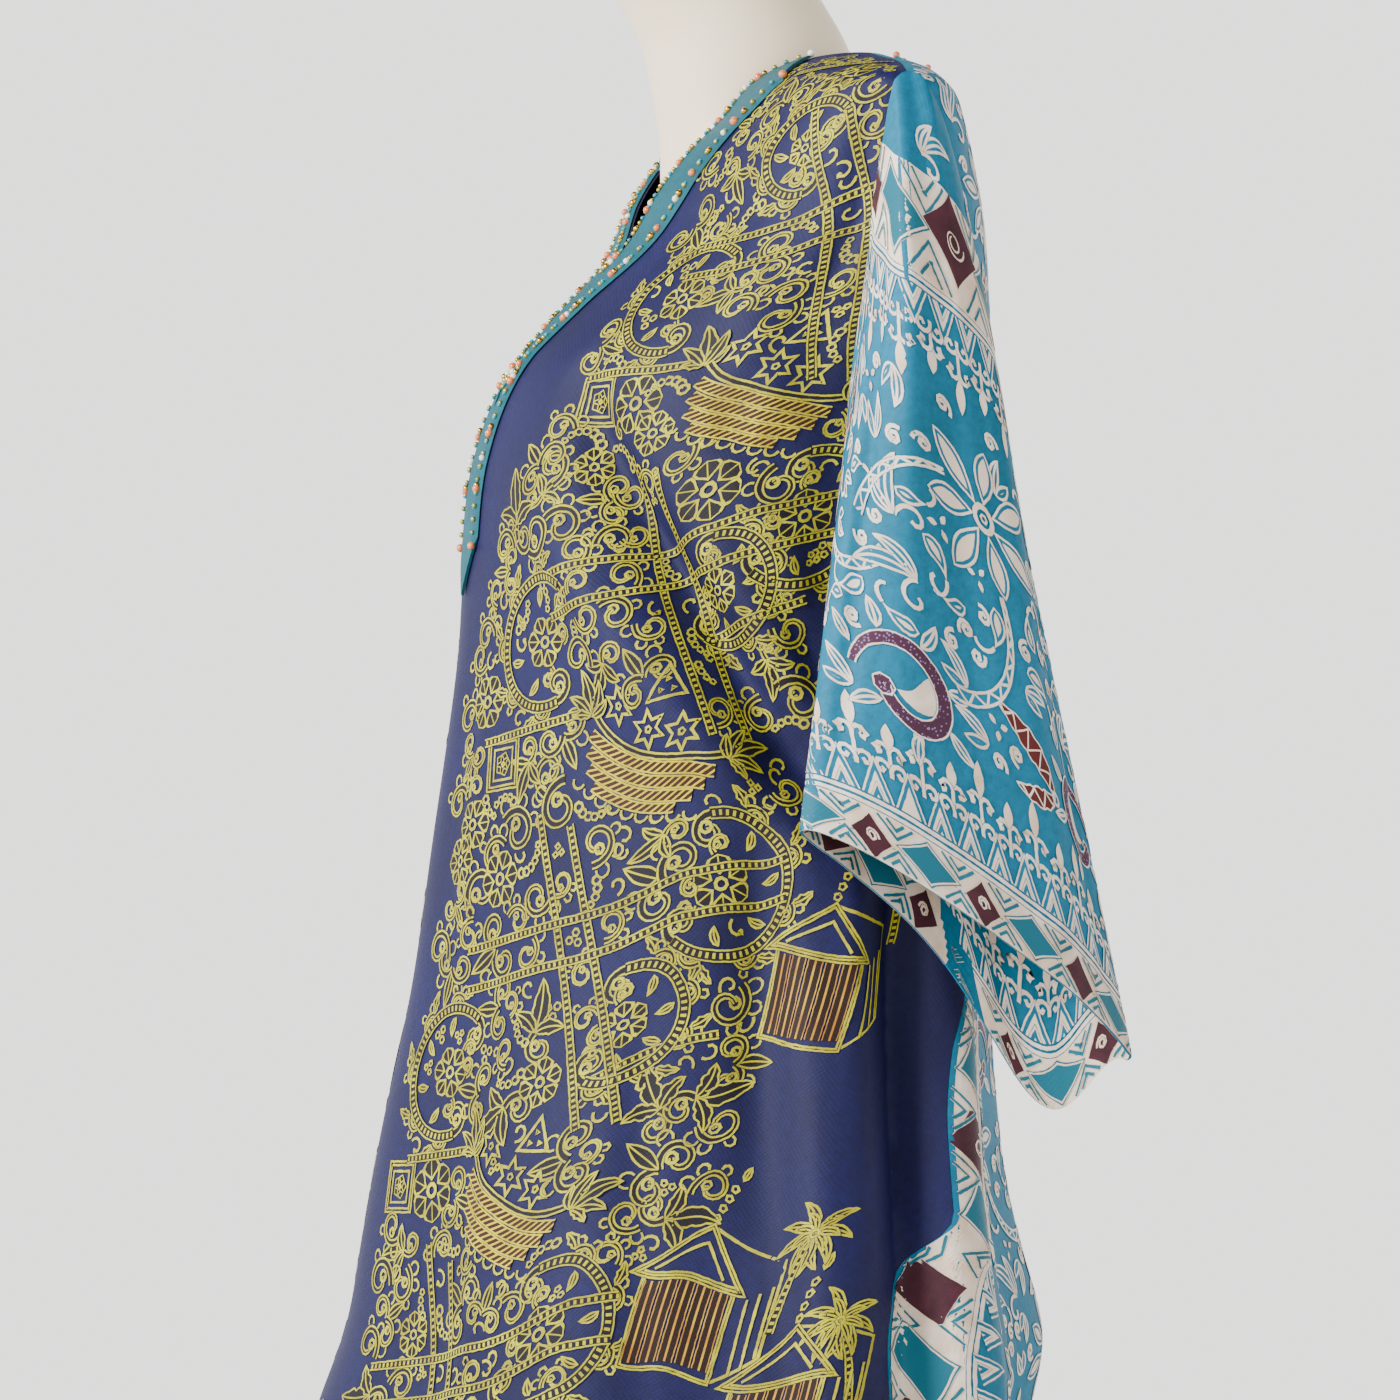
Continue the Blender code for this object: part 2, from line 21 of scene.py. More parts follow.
import bpy
import numpy as np
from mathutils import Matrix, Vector

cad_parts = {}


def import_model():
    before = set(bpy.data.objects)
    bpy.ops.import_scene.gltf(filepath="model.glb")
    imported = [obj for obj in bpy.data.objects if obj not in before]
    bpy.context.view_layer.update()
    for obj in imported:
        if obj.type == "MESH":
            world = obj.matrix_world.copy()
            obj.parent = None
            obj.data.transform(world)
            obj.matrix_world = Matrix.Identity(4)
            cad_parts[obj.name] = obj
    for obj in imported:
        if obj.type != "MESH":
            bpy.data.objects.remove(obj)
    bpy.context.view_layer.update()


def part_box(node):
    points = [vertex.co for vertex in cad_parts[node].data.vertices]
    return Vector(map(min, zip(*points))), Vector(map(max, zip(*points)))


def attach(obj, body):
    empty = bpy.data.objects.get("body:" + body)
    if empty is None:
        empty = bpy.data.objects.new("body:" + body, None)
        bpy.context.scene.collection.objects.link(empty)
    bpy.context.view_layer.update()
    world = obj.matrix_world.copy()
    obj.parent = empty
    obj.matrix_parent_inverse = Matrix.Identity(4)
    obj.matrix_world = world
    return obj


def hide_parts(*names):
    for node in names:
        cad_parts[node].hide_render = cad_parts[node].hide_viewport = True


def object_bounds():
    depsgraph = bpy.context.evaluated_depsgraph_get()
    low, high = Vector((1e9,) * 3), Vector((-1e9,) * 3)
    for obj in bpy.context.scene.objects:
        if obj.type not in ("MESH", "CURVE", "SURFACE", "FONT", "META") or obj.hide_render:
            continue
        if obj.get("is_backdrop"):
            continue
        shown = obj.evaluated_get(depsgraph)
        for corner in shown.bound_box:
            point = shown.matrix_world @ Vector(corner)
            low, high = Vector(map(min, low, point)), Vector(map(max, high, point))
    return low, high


LOG = logging.getLogger("batik_shirt")

# ---- Sizes of the solid model --------------------------------------------------------------------
NECK_TOP_Z = 1.3680
SHOULDER_Z = 1.3330
UNDERARM_Z = 1.0700
V_POINT_Z = 1.2640
BACK_NECK_Z = 1.3450
PLACKET_END_Z = 1.0850
HEM_Z = 0.5950
NECK_HALF = 0.0640
V_CURVE = 0.92
BAND_WIDTH = 0.0420
BAND_END = 0.0024
PLACKET_HALF = 0.0170
PLACKET_POINT = 0.0300
SEAM_GAP = 0.0003
SOLID_LIFT = 0.0029  # from a panel to the outside of what lies on it
CLOTH = 0.0009  # thickness of one layer of cotton
PRINT_LIFT = 0.00022  # from the cloth up to the lowest strip of print
STACK_STEP_MM = 0.022  # strips lie at heights this far apart in turn, so that two that cross are seldom level
STACK_TURNS = 9
NO_EDGE_MM = 50.0  # added to a strip's stated half width, it keeps its printed edges off the strip
STITCH_PITCH = 0.0031
STITCH_SIZE = (0.0021, 0.0005, 0.0005)

# z, half width, side y, front y, back y
BODY = np.array((
    (1.3680, 0.0740, 0.0320, -0.0010, 0.0620),
    (1.3600, 0.1020, 0.0300, -0.0160, 0.0690),
    (1.3500, 0.1400, 0.0260, -0.0280, 0.0740),
    (1.3330, 0.1880, 0.0150, -0.0380, 0.0780),
    (1.3200, 0.1895, 0.0190, -0.0500, 0.0820),
    (1.3000, 0.1880, 0.0240, -0.0640, 0.0880),
    (1.2670, 0.1850, 0.0290, -0.0800, 0.0960),
    (1.2350, 0.1820, 0.0300, -0.1100, 0.1000),
    (1.2000, 0.1800, 0.0260, -0.1390, 0.1030),
    (1.1560, 0.1790, 0.0200, -0.1560, 0.1040),
    (1.1050, 0.1820, 0.0140, -0.1610, 0.1020),
    (1.0500, 0.1860, 0.0090, -0.1635, 0.1030),
    (0.9500, 0.1900, 0.0030, -0.1770, 0.1040),
    (0.8780, 0.1970, 0.0000, -0.1875, 0.1040),
    (0.8000, 0.2180, -0.0050, -0.2040, 0.1040),
    (0.7500, 0.2340, -0.0080, -0.2130, 0.1100),
    (0.7000, 0.2450, -0.0100, -0.2220, 0.1200),
    (0.6520, 0.2510, -0.0120, -0.2390, 0.1100),
    (0.5950, 0.2570, -0.0120, -0.2500, 0.1150),
))

# z, left side angle, right side angle
SIDE_SEAM = np.array((
    (1.0700, 91.0, -91.0),
    (1.0000, 104.0, -101.0),
    (0.9400, 111.0, -106.0),
    (0.9000, 111.0, -107.0),
    (0.8600, 106.0, -105.0),
    (0.8200, 104.0, -104.0),
    (0.7870, 104.0, -102.0),
    (0.7500, 91.0, -95.0),
    (0.7000, 89.0, -91.0),
    (0.5950, 90.0, -90.0),
))

# The largest folds, as in the solid: angle, spread, top z, full z, height
FOLDS = (
    (0.0, 9.0, 1.200, 1.000, 0.0050),
    (22.0, 9.0, 1.040, 0.700, -0.0070),
    (45.0, 10.0, 1.000, 0.640, 0.0080),
    (66.0, 8.0, 0.960, 0.640, -0.0110),
    (80.0, 7.0, 1.060, 0.760, 0.0130),
    (94.0, 6.5, 1.040, 0.900, -0.0150),
    (110.0, 8.0, 1.020, 0.860, 0.0120),
    (136.0, 11.0, 1.060, 0.660, -0.0120),
    (158.0, 9.0, 0.980, 0.640, 0.0130),
    (178.0, 9.0, 1.100, 0.700, -0.0070),
    (-158.0, 10.0, 1.020, 0.660, 0.0140),
    (-138.0, 9.0, 0.980, 0.660, -0.0110),
    (-112.0, 8.0, 1.030, 0.840, 0.0120),
    (-95.0, 7.0, 1.050, 0.880, -0.0140),
    (-80.0, 7.0, 1.020, 0.740, 0.0120),
    (-62.0, 8.0, 0.980, 0.660, -0.0100),
    (-40.0, 10.0, 1.010, 0.660, 0.0090),
    (-20.0, 8.0, 1.040, 0.720, -0.0060),
)

# Smaller creases, each a soft line on the body: angle and z of its two ends, half width, height
CREASES = (
    (25.0, 1.205, 84.0, 0.960, 0.0150, -0.0190),
    (18.0, 1.150, 82.0, 0.935, 0.0180, 0.0100),
    (78.0, 1.200, 80.0, 0.965, 0.0240, -0.0100),
    (71.0, 1.352, 70.0, 1.130, 0.0150, -0.0040),
    (46.0, 1.270, 80.0, 1.120, 0.0160, 0.0030),
    (69.0, 1.010, 77.0, 0.625, 0.0150, -0.0125),
    (85.0, 0.980, 89.0, 0.640, 0.0120, 0.0080),
    (-26.0, 1.215, -82.0, 0.975, 0.0170, -0.0150),
    (-78.0, 1.190, -80.0, 0.975, 0.0240, -0.0090),
    (-71.0, 1.350, -70.0, 1.140, 0.0150, -0.0036),
    (-14.0, 1.150, -64.0, 0.910, 0.0230, 0.0044),
    (-72.0, 0.980, -78.0, 0.650, 0.0130, -0.0065),
    (30.0, 1.185, 68.0, 1.020, 0.0130, -0.0030),
    (44.0, 1.205, 78.0, 1.075, 0.0100, 0.0022),
    (24.0, 1.150, 60.0, 0.960, 0.0140, 0.0024),
    (62.0, 1.120, 84.0, 1.010, 0.0080, -0.0030),
    (70.0, 1.250, 58.0, 1.140, 0.0090, -0.0016),
    (78.0, 1.290, 66.0, 1.180, 0.0080, 0.0014),
    (20.0, 1.300, 40.0, 1.215, 0.0120, -0.0016),
    (34.0, 1.335, 56.0, 1.255, 0.0090, 0.0012),
    (12.0, 1.080, 16.0, 0.860, 0.0120, 0.0022),
    (33.0, 0.920, 29.0, 0.640, 0.0140, 0.0034),
    (54.0, 0.900, 57.0, 0.640, 0.0100, -0.0040),
    (73.0, 0.900, 72.0, 0.620, 0.0090, 0.0030),
    (86.0, 1.010, 84.0, 0.790, 0.0070, 0.0022),
    (88.0, 0.800, 92.0, 0.610, 0.0090, -0.0036),
    (101.0, 1.020, 100.0, 0.870, 0.0070, -0.0030),
    (104.0, 0.860, 101.0, 0.620, 0.0110, 0.0040),
    (122.0, 1.180, 116.0, 0.930, 0.0130, -0.0032),
    (128.0, 0.930, 124.0, 0.640, 0.0130, 0.0030),
    (146.0, 1.220, 150.0, 0.900, 0.0140, 0.0026),
    (168.0, 0.980, 170.0, 0.630, 0.0120, 0.0028),
    (190.0, 1.240, 184.0, 0.940, 0.0140, -0.0024),
    (196.0, 0.920, 200.0, 0.640, 0.0120, -0.0030),
    (214.0, 1.190, 222.0, 0.890, 0.0140, 0.0030),
    (236.0, 1.130, 240.0, 0.820, 0.0110, -0.0034),
    (252.0, 0.960, 256.0, 0.630, 0.0110, 0.0034),
    (-34.0, 1.180, -70.0, 1.030, 0.0130, -0.0028),
    (-46.0, 1.210, -78.0, 1.090, 0.0100, 0.0020),
    (-22.0, 1.140, -58.0, 0.950, 0.0140, 0.0024),
    (-66.0, 1.110, -84.0, 1.000, 0.0080, -0.0026),
    (-18.0, 1.300, -42.0, 1.210, 0.0120, -0.0016),
    (-11.0, 1.060, -14.0, 0.840, 0.0120, -0.0020),
    (-30.0, 0.930, -31.0, 0.640, 0.0140, 0.0032),
    (-52.0, 0.910, -50.0, 0.630, 0.0110, -0.0036),
    (-70.0, 0.900, -73.0, 0.620, 0.0100, 0.0034),
    (-88.0, 0.980, -90.0, 0.700, 0.0090, 0.0030),
)

ARMHOLE_FRONT = 0.0300
ARMHOLE_REAR = 0.0150
ARMHOLE_POWER = 0.7  # under 1 makes its ends rounder
SEAM_LAP = 0.0050
CUFF_FRONT = np.array((0.240, -0.057, 0.969))
CUFF_REAR = np.array((0.238, 0.108, 0.858))
CUFF_SWELL = 0.021
CUFF_UNDER_DROP = 0.058
CUFF_DROP_REAR = 3.2  # over 1 moves the under layer's lowest place towards the rear
CUFF_DROP_POWER = 1.3
CUFF_OUTER_RISE = 0.012
SLEEVE_SHOULDER_X = 0.014
SLEEVE_SINK = 0.0008  # from the solid's outside in to the sleeve's head
SLEEVE_DROP = 0.32  # from the armhole to the hem
SLEEVE_DEGREE = 0.0014  # width of one degree round the sleeve, for its creases
SLEEVE_SPAN = 0.3  # way down the sleeve, for its creases
CREASE_RUN_ON = 0.03  # how far a sleeve's crease goes on past its lower end

# Creases of the sleeve: turn and way down of the two ends, half width, height. Turn is in degrees, 0 in the
# middle of the outer layer and 90 at the front; the way down is 0 at the armhole and 1 at the cuff.
SLEEVE_CREASES = (
    (40.0, 0.10, 62.0, 0.95, 0.011, -0.0030),
    (14.0, 0.16, 30.0, 0.90, 0.014, 0.0028),
    (-16.0, 0.10, -4.0, 0.80, 0.013, -0.0024),
    (-42.0, 0.20, -30.0, 1.00, 0.015, 0.0034),
    (-66.0, 0.16, -60.0, 0.92, 0.010, -0.0028),
    (-80.0, 0.42, -84.0, 1.00, 0.008, 0.0024),
    (66.0, 0.02, 20.0, 0.30, 0.009, -0.0018),
    (140.0, 0.20, 132.0, 1.00, 0.012, -0.0026),
    (-132.0, 0.20, -124.0, 1.00, 0.013, 0.0030),
    (-160.0, 0.10, -166.0, 0.94, 0.011, -0.0024),
)

# The dress form: z, half width, middle y, front y, back y
FORM = np.array((
    (0.7200, 0.0600, -0.0100, -0.0600, 0.0400),
    (0.7240, 0.1100, -0.0100, -0.1000, 0.0650),
    (0.7400, 0.1400, -0.0080, -0.1250, 0.0720),
    (0.7800, 0.1560, -0.0060, -0.1380, 0.0740),
    (0.8400, 0.1540, -0.0020, -0.1340, 0.0720),
    (0.9200, 0.1420, 0.0020, -0.1200, 0.0680),
    (1.0000, 0.1300, 0.0060, -0.1150, 0.0660),
    (1.0800, 0.1380, 0.0100, -0.1300, 0.0760),
    (1.1560, 0.1540, 0.0160, -0.1400, 0.0900),
    (1.2000, 0.1620, 0.0200, -0.1200, 0.0920),
    (1.2400, 0.1670, 0.0240, -0.0880, 0.0900),
    (1.2800, 0.1700, 0.0220, -0.0600, 0.0820),
    (1.3050, 0.1680, 0.0190, -0.0460, 0.0740),
    (1.3200, 0.1560, 0.0170, -0.0370, 0.0660),
    (1.3320, 0.1300, 0.0200, -0.0260, 0.0620),
    (1.3430, 0.0980, 0.0240, -0.0120, 0.0600),
    (1.3520, 0.0500, 0.0240, 0.0000, 0.0500),
))
# The form's neck: z, half width, middle y, half depth
NECK = np.array((
    (1.2600, 0.0300, 0.0050, 0.0300),
    (1.3000, 0.0500, 0.0020, 0.0540),
    (1.3275, 0.0510, 0.0010, 0.0580),
    (1.3550, 0.0505, -0.0040, 0.0575),
    (1.3816, 0.0505, -0.0115, 0.0565),
    (1.4086, 0.0505, -0.0266, 0.0550),
    (1.4480, 0.0500, -0.0490, 0.0545),
))
NECK_BLEND = 7.0

Array = np.ndarray


# ---- Small helpers -------------------------------------------------------------------------------
def linear(code: str) -> tuple[float, float, float, float]:
    """The linear colour of an sRGB hex code.

    Args:
        code: six hex digits after a #.

    Returns:
        Red, green, blue and full opacity.
    """
    parts = [int(code[i : i + 2], 16) / 255 for i in (1, 3, 5)]
    red, green, blue = [p / 12.92 if p <= 0.04045 else ((p + 0.055) / 1.055) ** 2.4 for p in parts]
    return red, green, blue, 1.0


def smooth_read(table: Array, z: Array | float, column: int) -> Array:
    """Reads a column of a table at heights z, through a smooth curve without overshoot.

    Args:
        table: rows that start with their height.
        z: the heights to read at.
        column: which column.

    Returns:
        The values, in the shape of z.
    """
    rows = table[np.argsort(table[:, 0])]
    heights, values = rows[:, 0], rows[:, column]
    steps = np.diff(values) / np.diff(heights)
    slopes = np.concatenate(([steps[0]], (steps[1:] + steps[:-1]) / 2, [steps[-1]]))
    turning = np.concatenate(([False], steps[1:] * steps[:-1] <= 0, [False]))
    slopes[turning] = 0.0
    at = np.clip(np.asarray(z, float), heights[0], heights[-1])
    i = np.clip(np.searchsorted(heights, at) - 1, 0, len(steps) - 1)
    span = heights[i + 1] - heights[i]
    t = (at - heights[i]) / span
    return (
        values[i] * (1 + 2 * t) * (1 - t) ** 2
        + slopes[i] * span * t * (1 - t) ** 2
        + values[i + 1] * t * t * (3 - 2 * t)
        - slopes[i + 1] * span * t * t * (1 - t)
    )


def ramp(value: Array | float, start: float, end: float) -> Array:
    """0 at start and 1 at end, with an eased middle."""
    t = np.clip((np.asarray(value, float) - start) / (end - start), 0.0, 1.0)
    return t * t * (3 - 2 * t)


def unit(vectors: Array) -> Array:
    """The vectors at length 1."""
    return vectors / np.maximum(np.linalg.norm(vectors, axis=-1, keepdims=True), 1e-12)


def wrapped(angle: Array, centre: float) -> Array:
    """Degrees from a centre angle, the shorter way round."""
    return (angle - centre + 180.0) % 360.0 - 180.0


def lengths_along(grid: Array, axis: int) -> Array:
    """Distances along a grid of points from its first row (axis 0) or its first column (axis 1)."""
    moves = np.diff(grid, axis=axis, prepend=np.take(grid, [0], axis=axis))
    return np.cumsum(np.linalg.norm(moves, axis=2), axis=axis)


def strewn(seed: int, xs: tuple[float, float], ys: tuple[float, float], step: float, jitter: float) -> Array:
    """Places on a square grid, each moved a little at random, in millimetres."""
    grid = np.stack(np.meshgrid(np.arange(*xs, step), np.arange(*ys, step)), axis=-1).reshape(-1, 2)
    return grid + np.random.default_rng(seed).uniform(-jitter, jitter, grid.shape)


def crease_height(across: Array, along: Array, crease: Sequence[float]) -> Array:
    """How far one soft line lifts a surface at flat places on it.

    Args:
        across: first coordinates, in metres.
        along: second coordinates, in metres.
        crease: the two ends' coordinates, the half width and the height, in metres.

    Returns:
        The lift at each place.
    """
    x0, y0, x1, y1, width, height = crease
    run, rise = x1 - x0, y1 - y0
    length = math.hypot(run, rise)
    t = ((across - x0) * run + (along - y0) * rise) / length**2
    aside = ((across - x0) * rise - (along - y0) * run) / length
    fade = np.sin(np.pi * np.clip(t, 0.0, 1.0)) ** 0.7
    return height * np.exp(-((aside / width) ** 2)) * fade


def link(name: str, data: bpy.types.ID) -> bpy.types.Object:
    """Makes an object of a mesh, light or camera in the scene's collection."""
    made = bpy.data.objects.new(name, data)
    bpy.context.scene.collection.objects.link(made)
    return made


def lay_flat(mesh: bpy.types.Mesh, flat: Array) -> None:
    """Gives the weave each point's place on the cutting plan, in metres."""
    layer = mesh.uv_layers.new(name="flat")
    corners = np.empty(len(mesh.loops), np.int32)
    mesh.loops.foreach_get("vertex_index", corners)
    layer.data.foreach_set("uv", flat[corners].astype(np.float32).ravel())


def mesh_object(
    name: str,
    points: Array,
    faces: Sequence[Sequence[int]],
    material: bpy.types.Material,
    flat: Array | None = None,
    sharp: float = 50.0,
) -> bpy.types.Object:
    """An object from points and faces, shaded smooth.

    Args:
        name: the piece's name.
        points: one row each, in metres.
        faces: corners of each face, counter-clockwise from outside.
        material: what it is made of.
        flat: each point's place on the cutting plan in metres, for the weave.
        sharp: edges that bend more than this many degrees stay sharp.

    Returns:
        The new object.
    """
    mesh = bpy.data.meshes.new(name)
    mesh.from_pydata([tuple(p) for p in points.tolist()], [], [tuple(f) for f in faces])
    mesh.materials.append(material)
    mesh.shade_smooth()
    mesh.set_sharp_from_angle(angle=math.radians(sharp))
    if flat is not None:
        lay_flat(mesh, flat)
    return link(name, mesh)


def wall(outer: Array, inner: Array, faces: list[tuple[int, ...]]) -> tuple[Array, list[tuple[int, ...]]]:
    """One closed skin between two sheets of points that share their faces.

    Args:
        outer: the outer sheet's points.
        inner: the inner sheet's points.
        faces: the outer sheet's faces, which point out.

    Returns:
        All the points, and all the faces.
    """
    count = len(outer)
    edges = {(face[k - 1], face[k]) for face in faces for k in range(len(face))}
    rims = [(b, a, a + count, b + count) for a, b in sorted(e for e in edges if e[::-1] not in edges)]
    under = [tuple(corner + count for corner in reversed(face)) for face in faces]
    return np.concatenate((outer, inner)), faces + under + rims


def grid_faces(rows: int, columns: int, ring: bool = False) -> list[tuple[int, ...]]:
    """Quads of a grid of points stored row by row, where each row may close on itself as a ring."""
    faces = []
    for i in range(rows - 1):
        for j in range(columns if ring else columns - 1):
            a, b = i * columns + j, i * columns + (j + 1) % columns
            faces.append((a, b, b + columns, a + columns))
    return faces


def sheet_object(
    name: str, outer: Array, inner: Array, cotton: Cotton, up: int = 1, ring: bool = False
) -> bpy.types.Object:
    """A sheet of cloth from the grids of points of its two faces.

    Args:
        name: the piece's name.
        outer: the outer face, by row and column.
        inner: the inner face.
        cotton: what it is made of.
        up: 1 where the cutting plan's y rises with the rows, and -1 where it falls.
        ring: whether each row closes on itself.

    Returns:
        The new object.
    """
    rows, columns = outer.shape[:2]
    faces = grid_faces(rows, columns, ring)
    row, column = rows // 2, columns // 2
    spots = outer.reshape(-1, 3)
    a, b, c, _ = faces[row * (columns if ring else columns - 1) + column]
    if np.cross(spots[b] - spots[a], spots[c] - spots[a]) @ (outer - inner)[row, column] < 0:
        faces = [face[::-1] for face in faces]
    points, skin = wall(spots, inner.reshape(-1, 3), faces)
    flat = np.stack((lengths_along(outer, 1), up * lengths_along(outer, 0)), axis=2).reshape(-1, 2)
    return mesh_object(name, points, skin, once(cotton), np.concatenate((flat, flat)))


def ringed_object(name: str, rings: Sequence[Array], finish: Glazed, sharp: float) -> bpy.types.Object:
    """A skin through rings of points from the bottom up, closed by a face at each end."""
    sides = len(rings[0])
    last = (len(rings) - 1) * sides
    faces = grid_faces(len(rings), sides, ring=True)
    faces += [tuple(range(sides))[::-1], tuple(range(last, last + sides))]
    return mesh_object(name, np.concatenate(rings), faces, once(finish), sharp=sharp)


def add(tree: bpy.types.NodeTree, kind: str, feeds: dict | None = None, **settings: object) -> bpy.types.Node:
    """Adds one node.

    Args:
        tree: where it goes.
        kind: its type's name.
        feeds: by input name or number, a value to set or a node or socket to link.
        settings: its other settings.

    Returns:
        The node.
    """
    node = tree.nodes.new(kind)
    for key, value in settings.items():
        setattr(node, key, value)
    sockets = [s for s in node.inputs if s.enabled]
    for key, value in (feeds or {}).items():
        socket = sockets[key] if isinstance(key, int) else next(s for s in sockets if s.name == key)
        if isinstance(value, bpy.types.Node):
            value = next(s for s in value.outputs if s.enabled)
        if isinstance(value, bpy.types.NodeSocket):
            tree.links.new(value, socket)
        else:
            socket.default_value = value
    return node


def calc(tree: bpy.types.NodeTree, how: str, *values: object) -> bpy.types.Node:
    """Adds a maths node that takes the values in order."""
    return add(tree, "ShaderNodeMath", dict(enumerate(values)), operation=how)


def noise(
    tree: bpy.types.NodeTree, place: object, scale: float, detail: float, rough: float = 0.5
) -> bpy.types.Node:
    """Adds soft noise."""
    feeds = {"Vector": place, "Scale": scale, "Detail": detail, "Roughness": rough}
    return add(tree, "ShaderNodeTexNoise", feeds)


def rescale(
    tree: bpy.types.NodeTree,
    value: object,
    start: float = 0.0,
    end: float = 1.0,
    low: float = 0.0,
    high: float = 1.0,
    **settings: object,
) -> bpy.types.Node:
    """Adds a node that takes start to low and end to high, and stays between them."""
    feeds = {"Value": value, "From Min": start, "From Max": end, "To Min": low, "To Max": high}
    return add(tree, "ShaderNodeMapRange", feeds, **settings)


def blend(tree: bpy.types.NodeTree, share: object, first: object, second: object) -> bpy.types.Node:
    """Adds a mix of two colours, which is the second where the share is 1."""
    return add(tree, "ShaderNodeMix", {"Factor": share, "A": first, "B": second}, data_type="RGBA")


def shade(tree: bpy.types.NodeTree, feeds: dict) -> None:
    """Ends a material's tree with its shader."""
    shader = add(tree, "ShaderNodeBsdfPrincipled", feeds)
    add(tree, "ShaderNodeOutputMaterial", {"Surface": shader})


def new_material(name: str) -> tuple[bpy.types.Material, bpy.types.NodeTree]:
    """An empty node material and its tree."""
    material = bpy.data.materials.new(name)
    material.use_nodes = True
    material.node_tree.nodes.clear()
    return material, material.node_tree


def once(finish: Cotton | Ink | Glazed) -> bpy.types.Material:
    """A finish's material, made when it is first asked for."""
    return bpy.data.materials.get(finish.name) or finish.dress()


# ---- Finishes ------------------------------------------------------------------------------------
@dataclass(frozen=True)
class Cotton:
    """Fine batik cotton: dyed by hand, so the ground is a little uneven, with a soft sheen on the folds.

    Colours are sRGB hex codes, and sizes are millimetres.
    """

    name: str
    light: str
    mid: str
    deep: str
    gloss: str  # the colour of its sheen
    sheen: float = 0.08
    cloud_mm: float = 90.0
    thread_mm: float = 1.3  # real threads are 0.3 mm apart, which would not show

    def ground(self, tree: bpy.types.NodeTree) -> bpy.types.Node:
        """The dyed ground's colour: wide clouds, and small blotches where the dye bit deeper."""
        place = add(tree, "ShaderNodeTexCoord").outputs["Object"]
        wide = rescale(tree, noise(tree, place, 1000 / self.cloud_mm, 3.0), 0.32, 0.68)
        small = rescale(tree, noise(tree, place, 240.0, 4.0, 0.7), 0.35, 0.75, high=0.55)
        dyed = blend(tree, wide, linear(self.mid), linear(self.light))
        return blend(tree, small, dyed, linear(self.deep))

    def surface(self, tree: bpy.types.NodeTree, colour: bpy.types.Node) -> None:
        """Finishes the tree as woven cotton of the given colour: plain weave, slubs, sheen."""
        flat = add(tree, "ShaderNodeUVMap", uv_map="flat")
        warp = add(tree, "ShaderNodeMapping", {"Vector": flat, "Scale": (1000 / self.thread_mm,) * 3})
        threads = add(tree, "ShaderNodeSeparateXYZ", {"Vector": warp}).outputs
        waves = [calc(tree, "SINE", calc(tree, "MULTIPLY", threads[axis], math.pi)) for axis in ("X", "Y")]
        stretched = add(tree, "ShaderNodeMapping", {"Vector": flat, "Scale": (90.0, 700.0, 1.0)})
        slub = noise(tree, stretched, 5.0, 2.0)
        height = calc(tree, "MULTIPLY_ADD", calc(tree, "MULTIPLY", *waves), 0.5, slub)
        shade(tree, {
            "Base Color": colour,
            "Roughness": rescale(tree, slub, low=0.56, high=0.74),
            "Specular IOR Level": 0.24,
            "Sheen Weight": self.sheen,
            "Sheen Roughness": 0.42,
            "Sheen Tint": linear(self.gloss),
            "Normal": add(tree, "ShaderNodeBump", {"Strength": 0.16, "Distance": 0.0006, "Height": height}),
        })

    def dress(self) -> bpy.types.Material:
        """The plain dyed cloth as a material."""
        material, tree = new_material(self.name)
        self.surface(tree, self.ground(tree))
        return material


